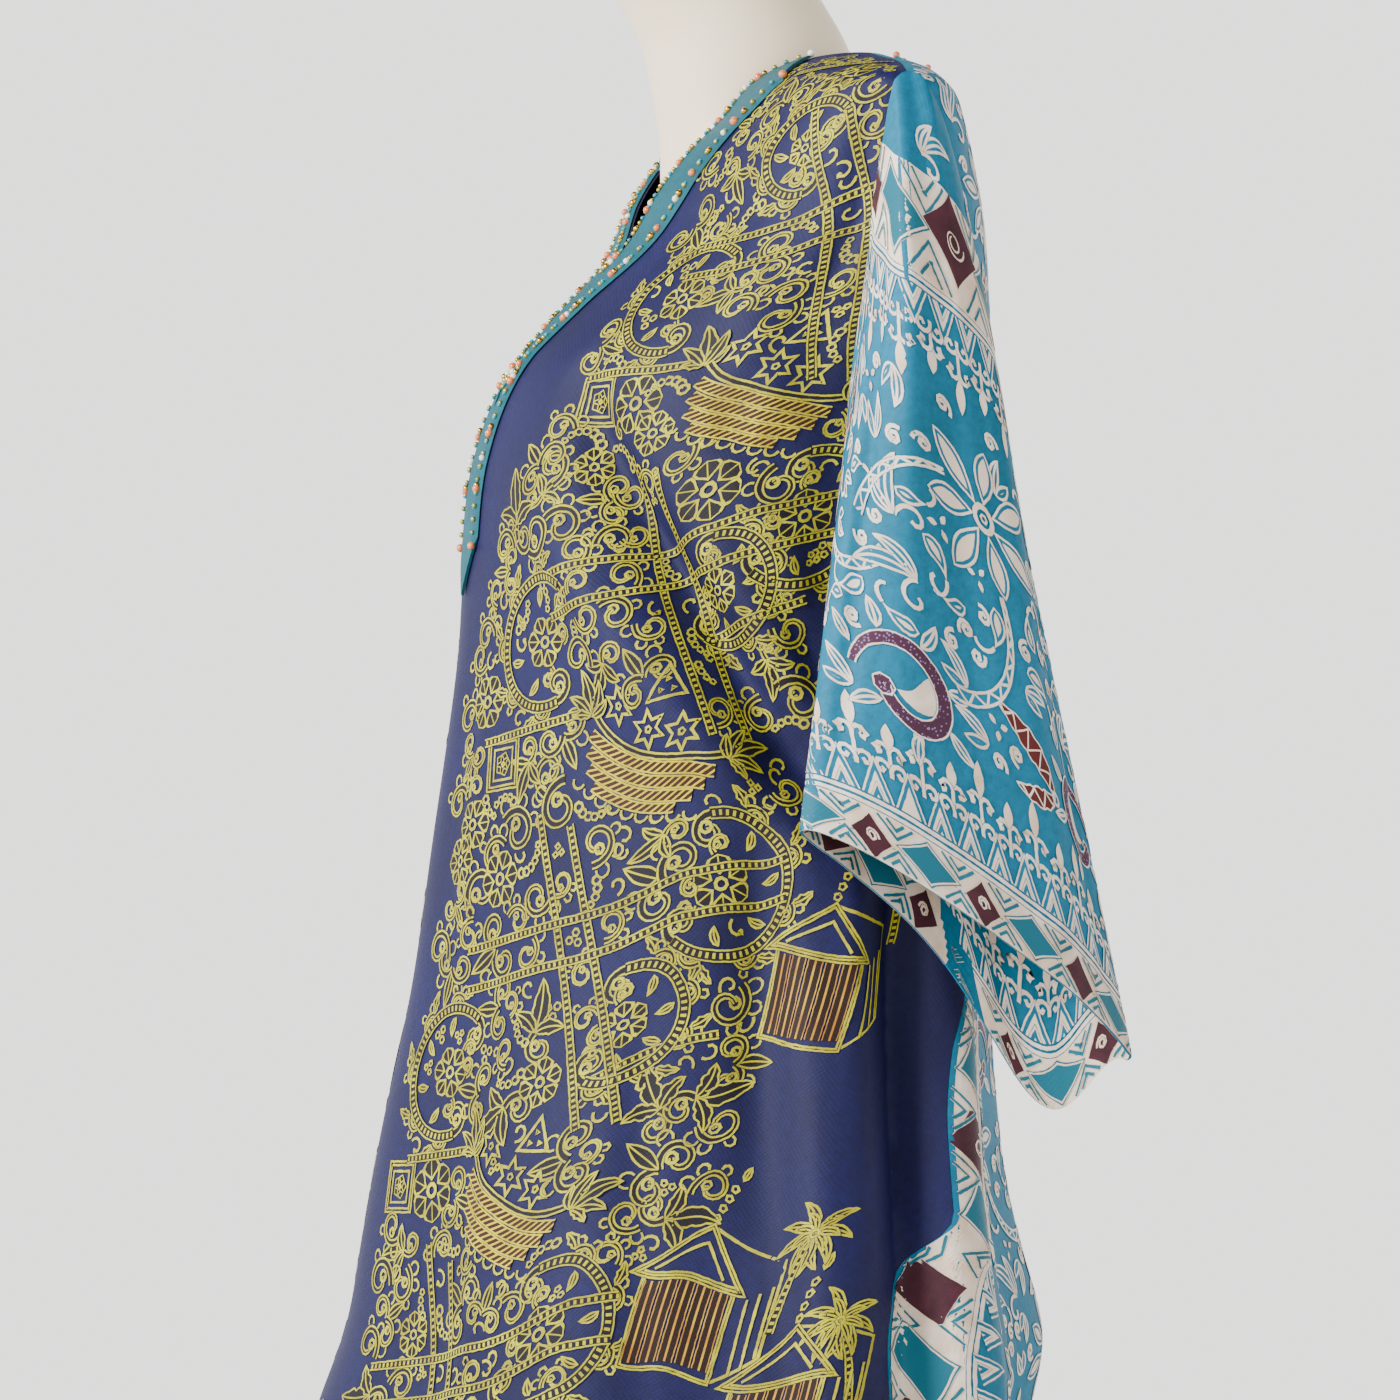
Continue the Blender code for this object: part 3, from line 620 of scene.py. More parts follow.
@dataclass(frozen=True)
class Ink:
    """A drawn line, band or leaf of wax-resist print on a cotton ground.

    A strip carries its own attribute "drawn": the distance from its middle, the way along it and its half
    width, in millimetres. All sizes here are millimetres, and 0 leaves a feature out.
    """

    name: str
    cloth: Cotton
    light: str
    deep: str
    outline: float = 0.0  # 0 fills the whole strip
    rib: float = 0.0
    inner_gap: float = 0.0
    inner: str = "#000000"
    fill: str = ""  # in place of the cloth's own ground between the lines
    ticks: float = 0.0  # their spacing along the strip
    veins: float = 0.0
    zigzag: float = 0.0
    dots: float = 0.0
    dot_colour: str = "#000000"

    def dress(self) -> bpy.types.Material:
        """The print as a material: its lines are a little uneven, as wax drawn by hand."""
        material, tree = new_material(self.name)
        drawn = add(tree, "ShaderNodeAttribute", attribute_name="drawn").outputs["Vector"]
        across, along, half = add(tree, "ShaderNodeSeparateXYZ", {"Vector": drawn}).outputs
        place = add(tree, "ShaderNodeTexCoord").outputs["Object"]
        maths = partial(calc, tree)
        away = maths("ABSOLUTE", across)
        wobble = maths("MULTIPLY_ADD", noise(tree, place, 260.0, 2.0), 0.9, -0.45)
        depth = maths("ADD", maths("SUBTRACT", half, away), wobble)

        def step(value: bpy.types.Node, edge: float, soft: float = 0.16) -> bpy.types.Node:
            """1 where the value is over the edge."""
            return rescale(tree, value, edge - soft, edge + soft, interpolation_type="SMOOTHSTEP")

        def bars(value: object, pitch: float, share: float) -> bpy.types.Node:
            """Bars across the value, one for each pitch."""
            return step(maths("PINGPONG", maths("MULTIPLY", value, 1 / pitch), 1.0), 1 - share, 0.06)

        inside = mask = step(depth, 0.24)
        if self.outline:
            within = step(depth, self.outline)
            lines = []
            if self.rib:
                lines.append(maths("MULTIPLY", step(maths("SUBTRACT", self.rib, away), 0.0), within))
            if self.ticks:
                core = step(maths("SUBTRACT", maths("MULTIPLY", half, 0.42), away), 0.0)
                lines.append(maths("MULTIPLY", core, bars(along, self.ticks, 0.42)))
            if self.veins:
                slant = maths("MULTIPLY_ADD", across, -1.1, along)
                lines.append(maths("MULTIPLY", within, bars(slant, self.veins, 0.34)))
            if self.zigzag:
                swing = maths("MULTIPLY_ADD", maths("PINGPONG", along, self.zigzag), 1.5 / self.zigzag, -0.75)
                off = maths("ABSOLUTE", maths("SUBTRACT", across, maths("MULTIPLY", swing, half)))
                lines.append(maths("MULTIPLY", step(maths("SUBTRACT", 0.9, off), 0.0), within))
            mask = maths("SUBTRACT", inside, within)
            for line in lines:
                mask = maths("MAXIMUM", mask, line)
        tone = rescale(tree, noise(tree, place, 75.0, 3.0), 0.35, 0.66)
        ink = blend(tree, tone, linear(self.deep), linear(self.light))
        ground = self.cloth.ground(tree)
        between = blend(tree, inside, ground, linear(self.fill)) if self.fill else ground
        if self.dots:
            specks = add(tree, "ShaderNodeTexVoronoi", {"Vector": place, "Scale": 1000 / self.dots})
            speck = maths("MULTIPLY", rescale(tree, specks, 0.34, 0.24), inside)
            between = blend(tree, speck, between, linear(self.dot_colour))
        colour = blend(tree, mask, between, ink)
        if self.inner_gap:
            colour = blend(tree, step(depth, self.inner_gap, 0.2), colour, linear(self.inner))
        self.cloth.surface(tree, colour)
        return material


@dataclass(frozen=True)
class Glazed:
    """A hard smooth finish with fine wear: moulded shell, enamel, brushed steel or a bead's glass or metal."""

    name: str
    light: str
    deep: str
    roughness: float
    metallic: float = 0.0
    coat: float = 0.0
    patch_mm: float = 60.0
    grain: tuple[float, float, float] = (1.0, 1.0, 1.0)
    bump: float = 0.05

    def dress(self) -> bpy.types.Material:
        """The finish as a material."""
        material, tree = new_material(self.name)
        place = add(tree, "ShaderNodeTexCoord").outputs["Object"]
        patches = rescale(tree, noise(tree, place, 1000 / self.patch_mm, 4.0), 0.3, 0.7)
        along = add(tree, "ShaderNodeMapping", {"Vector": place, "Scale": self.grain})
        fine = noise(tree, along, 900.0, 3.0)
        shade(tree, {
            "Base Color": blend(tree, patches, linear(self.deep), linear(self.light)),
            "Roughness": rescale(tree, fine, low=max(self.roughness - 0.06, 0.02), high=self.roughness + 0.08),
            "Metallic": self.metallic,
            "Coat Weight": self.coat,
            "Normal": add(tree, "ShaderNodeBump", {"Strength": self.bump, "Distance": 0.0004, "Height": fine}),
        })
        return material


NAVY = Cotton("navy_batik_cotton", "#15164A", "#11113A", "#0A0A24", "#4A5290", sheen=0.05)
TURQUOISE = Cotton("turquoise_batik_cotton", "#00789E", "#036A88", "#064E60", "#5FA8B8", cloud_mm=120.0)
TEAL = Cotton("teal_band_cotton", "#0F5A68", "#0D4F5C", "#0A3E48", "#5FA0A8", cloud_mm=50.0)
MAROON_DYE = Cotton("maroon_ground_cotton", "#4A1F2C", "#411A27", "#35141E", "#8A5A66")
SAND = Cotton("cream_ground_cotton", "#F0E0CF", "#E6CFB8", "#D6B596", "#FFF4E4")
LIME = ("#C6BF1C", "#9C9218")
CREAM = ("#F3E6D8", "#DFC7B2")
SEA = ("#0E6E84", "#0B5A68")
DARK = "#141019"


class Inks(Enum):
    """Every way that a figure is printed."""

    LINE = Ink("lime_line_print", NAVY, *LIME)
    BAND = Ink("lime_double_line_print", NAVY, *LIME, outline=1.0, ticks=1.7, fill=DARK)
    PLAIN_BAND = Ink("lime_outlined_print", NAVY, *LIME, outline=1.2, fill=DARK)
    LEAF = Ink("lime_leaf_print", NAVY, *LIME, outline=1.25, rib=0.42, fill=DARK)
    BLOOM = Ink("lime_bloom_print", NAVY, *LIME, outline=1.9, rib=0.3, fill=DARK)
    PLANK = Ink("gold_plank_print", NAVY, "#D0C21A", "#A9981A", outline=1.0, veins=2.1, fill="#35160E")
    BOARD = Ink("brown_board_print", NAVY, "#C9A230", "#A9701E", outline=0.72, rib=0.5, fill="#22100A")
    GRAVEL = Ink(
        "grey_stipple_print", NAVY, "#8E93A0", "#6C7388",
        outline=0.8, fill="#3A4160", dots=4.0, dot_colour="#8A90A6",
    )
    SLEEVE_LINE = Ink("cream_line_print", TURQUOISE, *CREAM)
    PETAL = Ink("cream_petal_print", TURQUOISE, *CREAM, outline=1.6, inner_gap=3.3, inner="#EBD6C2")
    SLEEVE_LEAF = Ink("cream_leaf_print", TURQUOISE, *CREAM, outline=1.55, rib=0.7)
    VINE = Ink("cream_vine_print", TURQUOISE, *CREAM, outline=1.5, zigzag=6.0)
    CREAM_FILL = Ink("cream_filled_print", TURQUOISE, "#F0E0CF", "#DDC0A4")
    GROUND = Ink("cream_border_ground", SAND, "#F2E3D3", "#DEC3A8")
    SEA_LINE = Ink("turquoise_line_print", SAND, *SEA)
    SEA_FIGURE = Ink("turquoise_figure_print", SAND, *SEA, outline=1.5, inner_gap=3.0, inner="#0E6478")
    TOOTH = Ink("cream_tooth_print", TURQUOISE, *CREAM, outline=1.2, inner_gap=3.1, inner="#EFDCC8")
    PLUM = Ink(
        "plum_stipple_print", TURQUOISE, *CREAM, outline=1.0, fill="#47243A", dots=1.7, dot_colour="#8A6FA0"
    )
    MAROON = Ink("maroon_diamond_print", SAND, "#4A1F2C", "#35141E")
    MAROON_LINE = Ink("cream_on_maroon_print", MAROON_DYE, "#F0E0CF", "#D9BEA6")
    RUST = Ink("red_brown_leaf_print", TURQUOISE, *CREAM, outline=1.1, zigzag=4.6, fill="#5C1E1C")

    def material(self) -> bpy.types.Material:
        """This print's material, made once."""
        return once(self.value)


SHELL = Glazed("moulded_cream_fibreglass", "#FFEDD0", "#F5DFBC", 0.42, coat=0.12, patch_mm=140.0, bump=0.04)
ENAMEL = Glazed("white_stand_enamel", "#F1EFE9", "#E2DED4", 0.34, coat=0.3, patch_mm=80.0, bump=0.05)
STEEL = Glazed(
    "brushed_stand_steel", "#C9C9CB", "#A9AAAD", 0.30,
    metallic=1.0, patch_mm=30.0, grain=(1, 1, 0.03), bump=0.12,
)
GOLD_BEAD = Glazed("gold_plated_bead", "#E0AE4C", "#B9832C", 0.26, metallic=1.0, patch_mm=9.0)
PEARL_BEAD = Glazed("pearl_lustre_bead", "#F8F4EA", "#E4DCCB", 0.18, coat=0.7, patch_mm=8.0)
CORAL_BEAD = Glazed("coral_glass_bead", "#E98240", "#D4603E", 0.20, coat=0.6, patch_mm=12.0)
OLIVE_BEAD = Glazed("olive_gold_seed_bead", "#C9BC62", "#8F8B3C", 0.28, metallic=0.7, patch_mm=4.0)
TEAL_BEAD = Glazed("teal_glass_seed_bead", "#2FA0A8", "#136C78", 0.20, coat=0.5, patch_mm=5.0)
THREAD = Glazed("teal_sewing_thread", "#2A8CA6", "#1B6A80", 0.70, patch_mm=14.0, bump=0.2)
NAVY_THREAD = Glazed("navy_sewing_thread", "#3A3F78", "#26285A", 0.70, patch_mm=14.0, bump=0.2)


# ---- Cloth surfaces ------------------------------------------------------------------------------
@dataclass
class ShirtBody:
    """The body of the shirt: a ring of sections with folds and creases."""

    crease_radius: float = 0.200  # turns an angle into a width, for the creases

    def ring(self, angle: Array, z: Array) -> Array:
        """Points of the surface.

        Args:
            angle: degrees round the body.
            z: heights in metres, in a shape that goes with the angles.

        Returns:
            The points, with x, y and z last.
        """
        angle, z = np.broadcast_arrays(np.asarray(angle, float), np.asarray(z, float))
        half, side_y, front_y, back_y = (smooth_read(BODY, z, column) for column in (1, 2, 3, 4))
        turn = np.radians(angle)
        reach = np.where(np.cos(turn) > 0, side_y - front_y, back_y - side_y)
        lift = np.zeros_like(angle)
        for centre, spread, top_z, full_z, height in FOLDS:
            lift += height * np.exp(-((wrapped(angle, centre) / spread) ** 2)) * ramp(z, top_z, full_z)
        scale = math.radians(1.0) * self.crease_radius
        for start, start_z, end, end_z, width, height in CREASES:
            middle = (start + end) / 2
            line = ((start - middle) * scale, start_z, (end - middle) * scale, end_z, width, height)
            lift += crease_height(wrapped(angle, middle) * scale, z, line)
        outward = np.stack((np.sin(turn) / half, -np.cos(turn) / reach, np.zeros_like(turn)), axis=-1)
        base = np.stack((half * np.sin(turn), side_y - reach * np.cos(turn), z), axis=-1)
        return base + unit(outward) * lift[..., None]

    def point(self, angle: Array, z: Array, out: Array | float = 0.0) -> Array:
        """Points moved out from the surface by the given distance."""
        angle, z = np.broadcast_arrays(np.asarray(angle, float), np.asarray(z, float))
        across = self.ring(angle + 0.3, z) - self.ring(angle - 0.3, z)
        up = self.ring(angle, np.minimum(z + 0.001, NECK_TOP_Z)) - self.ring(angle, z - 0.001)
        return self.ring(angle, z) + unit(np.cross(across, up)) * np.asarray(out, float)[..., None]

    @staticmethod
    def angle_at(x: Array | float, z: Array | float) -> Array:
        """The front angle of the body where it is x from the centre."""
        return np.degrees(np.arcsin(np.clip(np.asarray(x) / smooth_read(BODY, z, 1), -1.0, 1.0)))

    @staticmethod
    def reach(z: Array | float, front: bool) -> Array:
        """From the body's side line to its front or back."""
        side_y = smooth_read(BODY, z, 2)
        return side_y - smooth_read(BODY, z, 3) if front else smooth_read(BODY, z, 4) - side_y

    @staticmethod
    def armhole(z: Array | float, front: bool) -> Array:
        """How far the armhole opens to the front or the rear of the side line."""
        t = np.clip((SHOULDER_Z - np.asarray(z, float)) / (SHOULDER_Z - UNDERARM_Z), 0.0, 1.0)
        return (ARMHOLE_FRONT if front else ARMHOLE_REAR) * np.sin(np.pi * t).clip(0.0) ** ARMHOLE_POWER

    def edge(self, z: Array | float, side: int, front: bool) -> Array:
        """The angle where a panel ends, at the shoulder seam, the armhole or the side seam."""
        z = np.asarray(z, float)
        reach = self.reach(z, front)
        clear = np.degrees(SEAM_GAP / 2 / np.maximum(reach, SEAM_GAP))
        opened = np.degrees(np.arcsin(np.minimum(self.armhole(z, front) / reach, 1.0)))
        seam = smooth_read(SIDE_SEAM, z, 1 if side > 0 else 2)
        if front:
            return np.where(z > UNDERARM_Z, side * (90.0 - opened - clear), seam - side * clear)
        return np.where(z > UNDERARM_Z, side * (90.0 + opened + clear), seam + side * clear)

    def neckline(self, z: Array | float, front: bool) -> Array:
        """The angle of a panel's neckline, 0 or 180 below it."""
        z = np.asarray(z, float)
        if front:
            t = np.clip((z - V_POINT_Z) / (NECK_TOP_Z - V_POINT_Z), 0.0, None)
            return self.angle_at(NECK_HALF * t**V_CURVE, z)
        across = NECK_HALF * np.sqrt(np.clip(z - BACK_NECK_Z, 0.0, None) / (NECK_TOP_Z - BACK_NECK_Z))
        return 180.0 - self.angle_at(across, z)

    @staticmethod
    def shoulder_seam(x: Array | float) -> Array:
        """Height of the shoulder seam at x from the centre."""
        heights = np.linspace(SHOULDER_Z, NECK_TOP_Z, 24)
        return np.interp(-np.asarray(x), -smooth_read(BODY, heights, 1), heights)


@dataclass
class SleeveTube:
    """One wide sleeve, from the armhole to the slanted cuff. It is the left one, and side -1 mirrors it."""

    body: ShirtBody
    side: int = 1

    def head(self, turn: Array) -> Array:
        """Points of the sleeve's head, which laps over the panels' edges."""
        middle, half = (SHOULDER_Z + UNDERARM_Z) / 2, (SHOULDER_Z - UNDERARM_Z) / 2
        z = middle + half * np.cos(turn)
        front = np.sin(turn) > 0
        opened = []
        for is_front in (True, False):
            depth = self.body.armhole(z, is_front) + SEAM_LAP * np.minimum(1.0, 4 * np.abs(np.sin(turn)))
            opened.append(np.degrees(np.arcsin(np.minimum(depth / self.body.reach(z, is_front), 1.0))))
        return self.body.point(np.where(front, 90.0 - opened[0], 90.0 + opened[1]), z, SOLID_LIFT - SLEEVE_SINK)

    @staticmethod
    def cuff(turn: Array) -> Array:
        """Points of the cuff's hem at the same turns."""
        across, layer = np.sin(turn), np.cos(turn)
        points = (CUFF_FRONT + CUFF_REAR) / 2 + (CUFF_FRONT - CUFF_REAR) / 2 * across[..., None]
        rear_share = np.sin(np.pi * ((1 - across) / 2) ** CUFF_DROP_REAR).clip(0.0) ** CUFF_DROP_POWER
        points[..., 0] += CUFF_SWELL * layer
        points[..., 2] += CUFF_OUTER_RISE * layer.clip(0.0) - CUFF_UNDER_DROP * rear_share * (-layer).clip(0.0)
        return points

    def smooth_point(self, turn: Array, along: Array) -> Array:
        """Points without the small creases: along 0 at the armhole to 1 at the cuff."""
        turn, t = np.broadcast_arrays(np.asarray(turn, float), np.asarray(along, float))
        head, cuff = self.head(turn), self.cuff(turn)
        leave = np.zeros_like(head)
        leave[..., 0] = SLEEVE_SHOULDER_X * (0.4 + 0.6 * np.cos(turn).clip(0.0))
        drop = cuff - head
        first, second = head + leave + drop * 0.08, cuff - drop * 0.42
        t = t[..., None]
        return head * (1 - t) ** 3 + first * 3 * t * (1 - t) ** 2 + second * 3 * t * t * (1 - t) + cuff * t**3

    def point(self, turn: Array, along: Array, out: float = 0.0) -> Array:
        """Points of the creased surface, moved out by the given distance."""
        turn, along = np.broadcast_arrays(np.asarray(turn, float), np.asarray(along, float))
        round_it = self.smooth_point(turn + 0.03, along) - self.smooth_point(turn - 0.03, along)
        lower, upper = np.minimum(along + 0.01, 1.0), np.maximum(along - 0.01, 0.0)
        down = self.smooth_point(turn, lower) - self.smooth_point(turn, upper)
        lift = np.zeros_like(turn)
        for start, start_t, end, end_t, width, height in SLEEVE_CREASES:
            middle = (start + end) / 2
            first = ((start - middle) * SLEEVE_DEGREE, start_t * SLEEVE_SPAN)
            second = ((end - middle) * SLEEVE_DEGREE, end_t * SLEEVE_SPAN + CREASE_RUN_ON)
            away = wrapped(np.degrees(turn), middle) * SLEEVE_DEGREE
            lift += crease_height(away, along * SLEEVE_SPAN, (*first, *second, width, height))
        points = self.smooth_point(turn, along) + unit(np.cross(round_it, down)) * (lift + out)[..., None]
        points[..., 0] *= self.side
        return points


@dataclass
class CuttingPlan:
    """A piece of cloth laid flat: each place on the plan has its point and outward direction on the sheet.

    The plan is built from rows of points on the sheet. A place's x is its distance along its row, and its y the
    distance up a line of equal x, so figures keep their size.
    """

    low: tuple[float, float]
    step: float
    points: Array
    normals: Array
    margin: Array  # distance inside the piece's edges, in metres, under 0 outside
    mirrored: bool = False

    @classmethod
    def build(
        cls,
        rows: Array,
        places: Array,
        margins: Array,
        zero_row: int,
        x_span: tuple[float, float],
        step: float = 0.004,
        mirrored: bool = False,
    ) -> "CuttingPlan":
        """Makes a plan.

        Args:
            rows: points of the sheet, from its lowest row up.
            places: each point's x on the plan, rising along its row.
            margins: each point's distance inside the edges.
            zero_row: the row where y is 0.
            x_span: the lowest and highest x of the plan.
            step: spacing of the plan's grid.
            mirrored: whether x runs the other way seen from outside.

        Returns:
            The plan.
        """
        xs = np.arange(x_span[0], x_span[1] + step / 2, step)
        count = len(rows)
        spread = np.empty((count, len(xs), 4))
        for i in range(count):
            for k in range(3):
                spread[i, :, k] = np.interp(xs, places[i], rows[i, :, k])
            outside = np.maximum(places[i][0] - xs, xs - places[i][-1])
            spread[i, :, 3] = np.where(outside > 0, -outside, np.interp(xs, places[i], margins[i]))
        lengths = np.linalg.norm(np.diff(spread[:, :, :3], axis=0), axis=2)
        heights = np.concatenate((np.zeros((1, len(xs))), np.cumsum(lengths, axis=0)))
        heights -= heights[zero_row]
        real = spread[:, :, 3] > -0.02
        ys = np.arange(float(heights[real].min()), float(heights[real].max()) + step, step)
        grid = np.empty((len(ys), len(xs), 4))
        for j in range(len(xs)):
            for k in range(4):
                grid[:, j, k] = np.interp(ys, heights[:, j], spread[:, j, k])
            beyond = np.maximum(heights[0, j] - ys, ys - heights[-1, j])
            grid[:, j, 3] = np.where(beyond > 0, -beyond, grid[:, j, 3])
        points = grid[:, :, :3]
        normals = unit(np.cross(np.gradient(points, axis=1), np.gradient(points, axis=0)))
        low = (float(xs[0]), float(ys[0]))
        return cls(low, step, points, -normals if mirrored else normals, grid[:, :, 3], mirrored)

    def read(self, flat: Array) -> tuple[Array, Array, Array]:
        """Points, outward directions and margins at flat places.

        Args:
            flat: places on the plan, in metres.

        Returns:
            The points, the directions and the margins.
        """
        rows, columns = self.margin.shape
        x = np.clip((flat[:, 0] - self.low[0]) / self.step, 0, columns - 1.001)
        y = np.clip((flat[:, 1] - self.low[1]) / self.step, 0, rows - 1.001)
        j, i = x.astype(int), y.astype(int)
        u, v = x - j, y - i

        def mix(values: Array) -> Array:
            """Reads a grid between its nodes."""
            shape = (-1,) + (1,) * (values.ndim - 2)
            a, b = u.reshape(shape), v.reshape(shape)
            low = values[i, j] * (1 - a) + values[i, j + 1] * a
            high = values[i + 1, j] * (1 - a) + values[i + 1, j + 1] * a
            return low * (1 - b) + high * b

        off_x = np.abs(flat[:, 0] - self.low[0] - self.step * x)
        off_y = np.abs(flat[:, 1] - self.low[1] - self.step * y)
        beyond = np.maximum(off_x, off_y)
        margin = mix(self.margin) - np.where(beyond > self.step, beyond, 0.0)
        return mix(self.points), unit(mix(self.normals)), margin


# ---- Drawing on a cutting plan -------------------------------------------------------------------
def curl(
    start: Sequence[float], heading: float, length: float, first: float, last: float, hand: int = 1
) -> Array:
    """A line whose bend tightens or opens evenly.

    Args:
        start: where it starts, in millimetres.
        heading: its first direction in degrees, 0 to the right and 90 up.
        length: its length.
        first: the bend's radius at the start.
        last: the bend's radius at the end.
        hand: 1 turns to the left and -1 to the right.

    Returns:
        Points about 2 mm apart.
    """
    count = max(4, int(length / 2.0))
    t = (np.arange(count) + 0.5) / count
    piece = length / count
    turns = hand * piece / (first * (last / first) ** t)
    headings = math.radians(heading) + np.cumsum(turns) - turns / 2
    moves = np.stack((np.cos(headings), np.sin(headings)), axis=1) * piece
    return np.concatenate((np.array([start], float), np.array(start, float) + np.cumsum(moves, axis=0)))


def circle(centre: Sequence[float], radius: float, start: float = 0.0, sweep: float = 360.0) -> Array:
    """Points of an arc, its start and sweep in degrees."""
    count = max(8, int(radius * abs(math.radians(sweep)) / 1.6))
    angles = np.radians(start + sweep * np.arange(count + 1) / count)
    return np.array(centre, float) + radius * np.stack((np.cos(angles), np.sin(angles)), axis=1)


def course(*corners: Sequence[float]) -> Array:
    """A line through the corners."""
    return np.array(corners, float)


def heading_of(path: Array) -> float:
    """The direction of a line's end, in degrees."""
    move = path[-1] - path[-2]
    return math.degrees(math.atan2(move[1], move[0]))


def toward(start: Sequence[float], heading: float, distance: float) -> tuple[float, float]:
    """The place at a distance from another, in a direction in degrees."""
    turn = math.radians(heading)
    return start[0] + distance * math.cos(turn), start[1] + distance * math.sin(turn)


@dataclass
class Drawing:
    """Strips of print laid on one cutting plan, in millimetres, which become one piece.

    Fields:
        name: the piece's name.
        plan: the cloth's cutting plan.
        lift: from the cloth's surface to the lowest strip, in metres, under 0 for the inside of the cloth.
        flip: -1 mirrors the drawing across x.
        segment: the longest piece of a strip.
        widest: a strip wider than this is divided lengthwise, so that it follows the cloth.
        dry: while it is set nothing is drawn, so that figures can be tried.
        taken: which square millimetres are drawn on, with the plan's zero in the middle.
    """

    name: str
    plan: CuttingPlan
    lift: float = PRINT_LIFT
    flip: int = 1
    segment: float = 2.4
    widest: float = 5.0
    flats: list[Array] = field(default_factory=list)
    facts: list[Array] = field(default_factory=list)
    lifts: list[Array] = field(default_factory=list)
    faces: list[Array] = field(default_factory=list)
    inks: list[Inks] = field(default_factory=list)
    strokes: int = 0
    count: int = 0
    dry: bool = False
    taken: Array = field(default_factory=lambda: np.zeros((1400, 1200), bool))

    def cells(self, rows: Array, columns: Array) -> tuple[Array, Array]:
        """Rows and columns held inside the map of taken ground."""
        height, width = self.taken.shape
        return np.clip(rows, 0, height - 1), np.clip(columns, 0, width - 1)

    def under(self, path: Array) -> tuple[Array, Array]:
        """The map's cells under a line's points."""
        height, width = self.taken.shape
        return self.cells((path[:, 1] + height // 2).astype(int), (path[:, 0] + width // 2).astype(int))

    def mark(self, path: Array, reach: float) -> None:
        """Marks the ground round a line as taken."""
        size = int(math.ceil(reach))
        i, j = np.mgrid[-size : size + 1, -size : size + 1].reshape(2, -1)
        near = i * i + j * j <= reach * reach
        rows, columns = self.under(path)
        self.taken[self.cells(rows[:, None] + i[near], columns[:, None] + j[near])] = True

    def crowded(self, path: Array) -> float:
        """The share of a line that would cross what is drawn already, or leave the cloth."""
        margin = self.plan.read(path / 1000 * (self.flip, 1))[2]
        return float(np.mean(self.taken[self.under(path)] | (margin < 0.002)))

    def stroke(
        self,
        path: Array,
        half: float | Array,
        ink: Inks,
        closed: bool = False,
        layer: float = 0.0,
        keep: float = 1.2,
        solid: bool = False,
    ) -> None:
        """Draws a strip along a line.

        Args:
            path: the line's points.
            half: half width, one number or one for each point.
            ink: how it is printed.
            closed: whether the line is a ring, whose last point is its first.
            layer: extra millimetres above the cloth, for a figure on top of another.
            keep: how much free ground the strip keeps round it.
            solid: whether the strip is one of several side by side, with no edges of its own.
        """
        if self.dry:
            return
        halves = np.broadcast_to(np.asarray(half, float), (len(path),))
        lengths = np.linalg.norm(np.diff(path, axis=0), axis=1)
        along = np.concatenate(([0.0], np.cumsum(lengths)))
        if along[-1] < 0.2:
            return
        pieces = max(2, int(math.ceil(along[-1] / self.segment)))
        corners = np.abs(np.diff(np.unwrap(np.arctan2(*np.diff(path, axis=0).T[::-1])))) > 0.9
        at = np.unique(np.concatenate((np.linspace(0, along[-1], pieces + 1), along[1:-1][corners])))
        line = np.stack([np.interp(at, along, path[:, k]) for k in (0, 1)], axis=1)
        width = np.interp(at, along, halves)
        before, after = np.roll(line, 1, axis=0), np.roll(line, -1, axis=0)
        if closed:
            before[0], after[-1] = line[-2], line[1]
        else:
            before[0], after[-1] = line[0], line[-1]
        first, second = unit(line - before), unit(after - line)
        first[0] = first[0] if closed else second[0]
        second[-1] = second[-1] if closed else first[-1]
        middle = unit(first + second)
        mitre = 1.0 / np.clip((middle * first).sum(axis=1), 0.45, 1.0)
        side = np.stack((-middle[:, 1], middle[:, 0]), axis=1) * (width * mitre)[:, None]
        self.strokes += 1
        stacked = 0.0 if solid else STACK_STEP_MM * (self.strokes % STACK_TURNS) + layer
        height = self.lift * 1000 + math.copysign(stacked, self.lift)
        total = len(line)
        rows = max(1, int(math.ceil(2 * float(width.max()) / self.widest)))
        shares = np.linspace(1.0, -1.0, rows + 1)
        self.flats += [line + side * share for share in shares]
        width = width + NO_EDGE_MM if solid else width
        self.facts += [np.stack((width * share, at, width), axis=1) for share in shares]
        self.lifts.append(np.full((rows + 1) * total, height / 1000))
        for k in range(rows):
            low = np.arange(total - 1) + self.count + k * total
            self.faces.append(np.stack((low, low + total, low + total + 1, low + 1), axis=1))
        self.inks += [ink] * (rows * (total - 1))
        self.count += (rows + 1) * total
        self.mark(line, float(width.mean()) + keep)

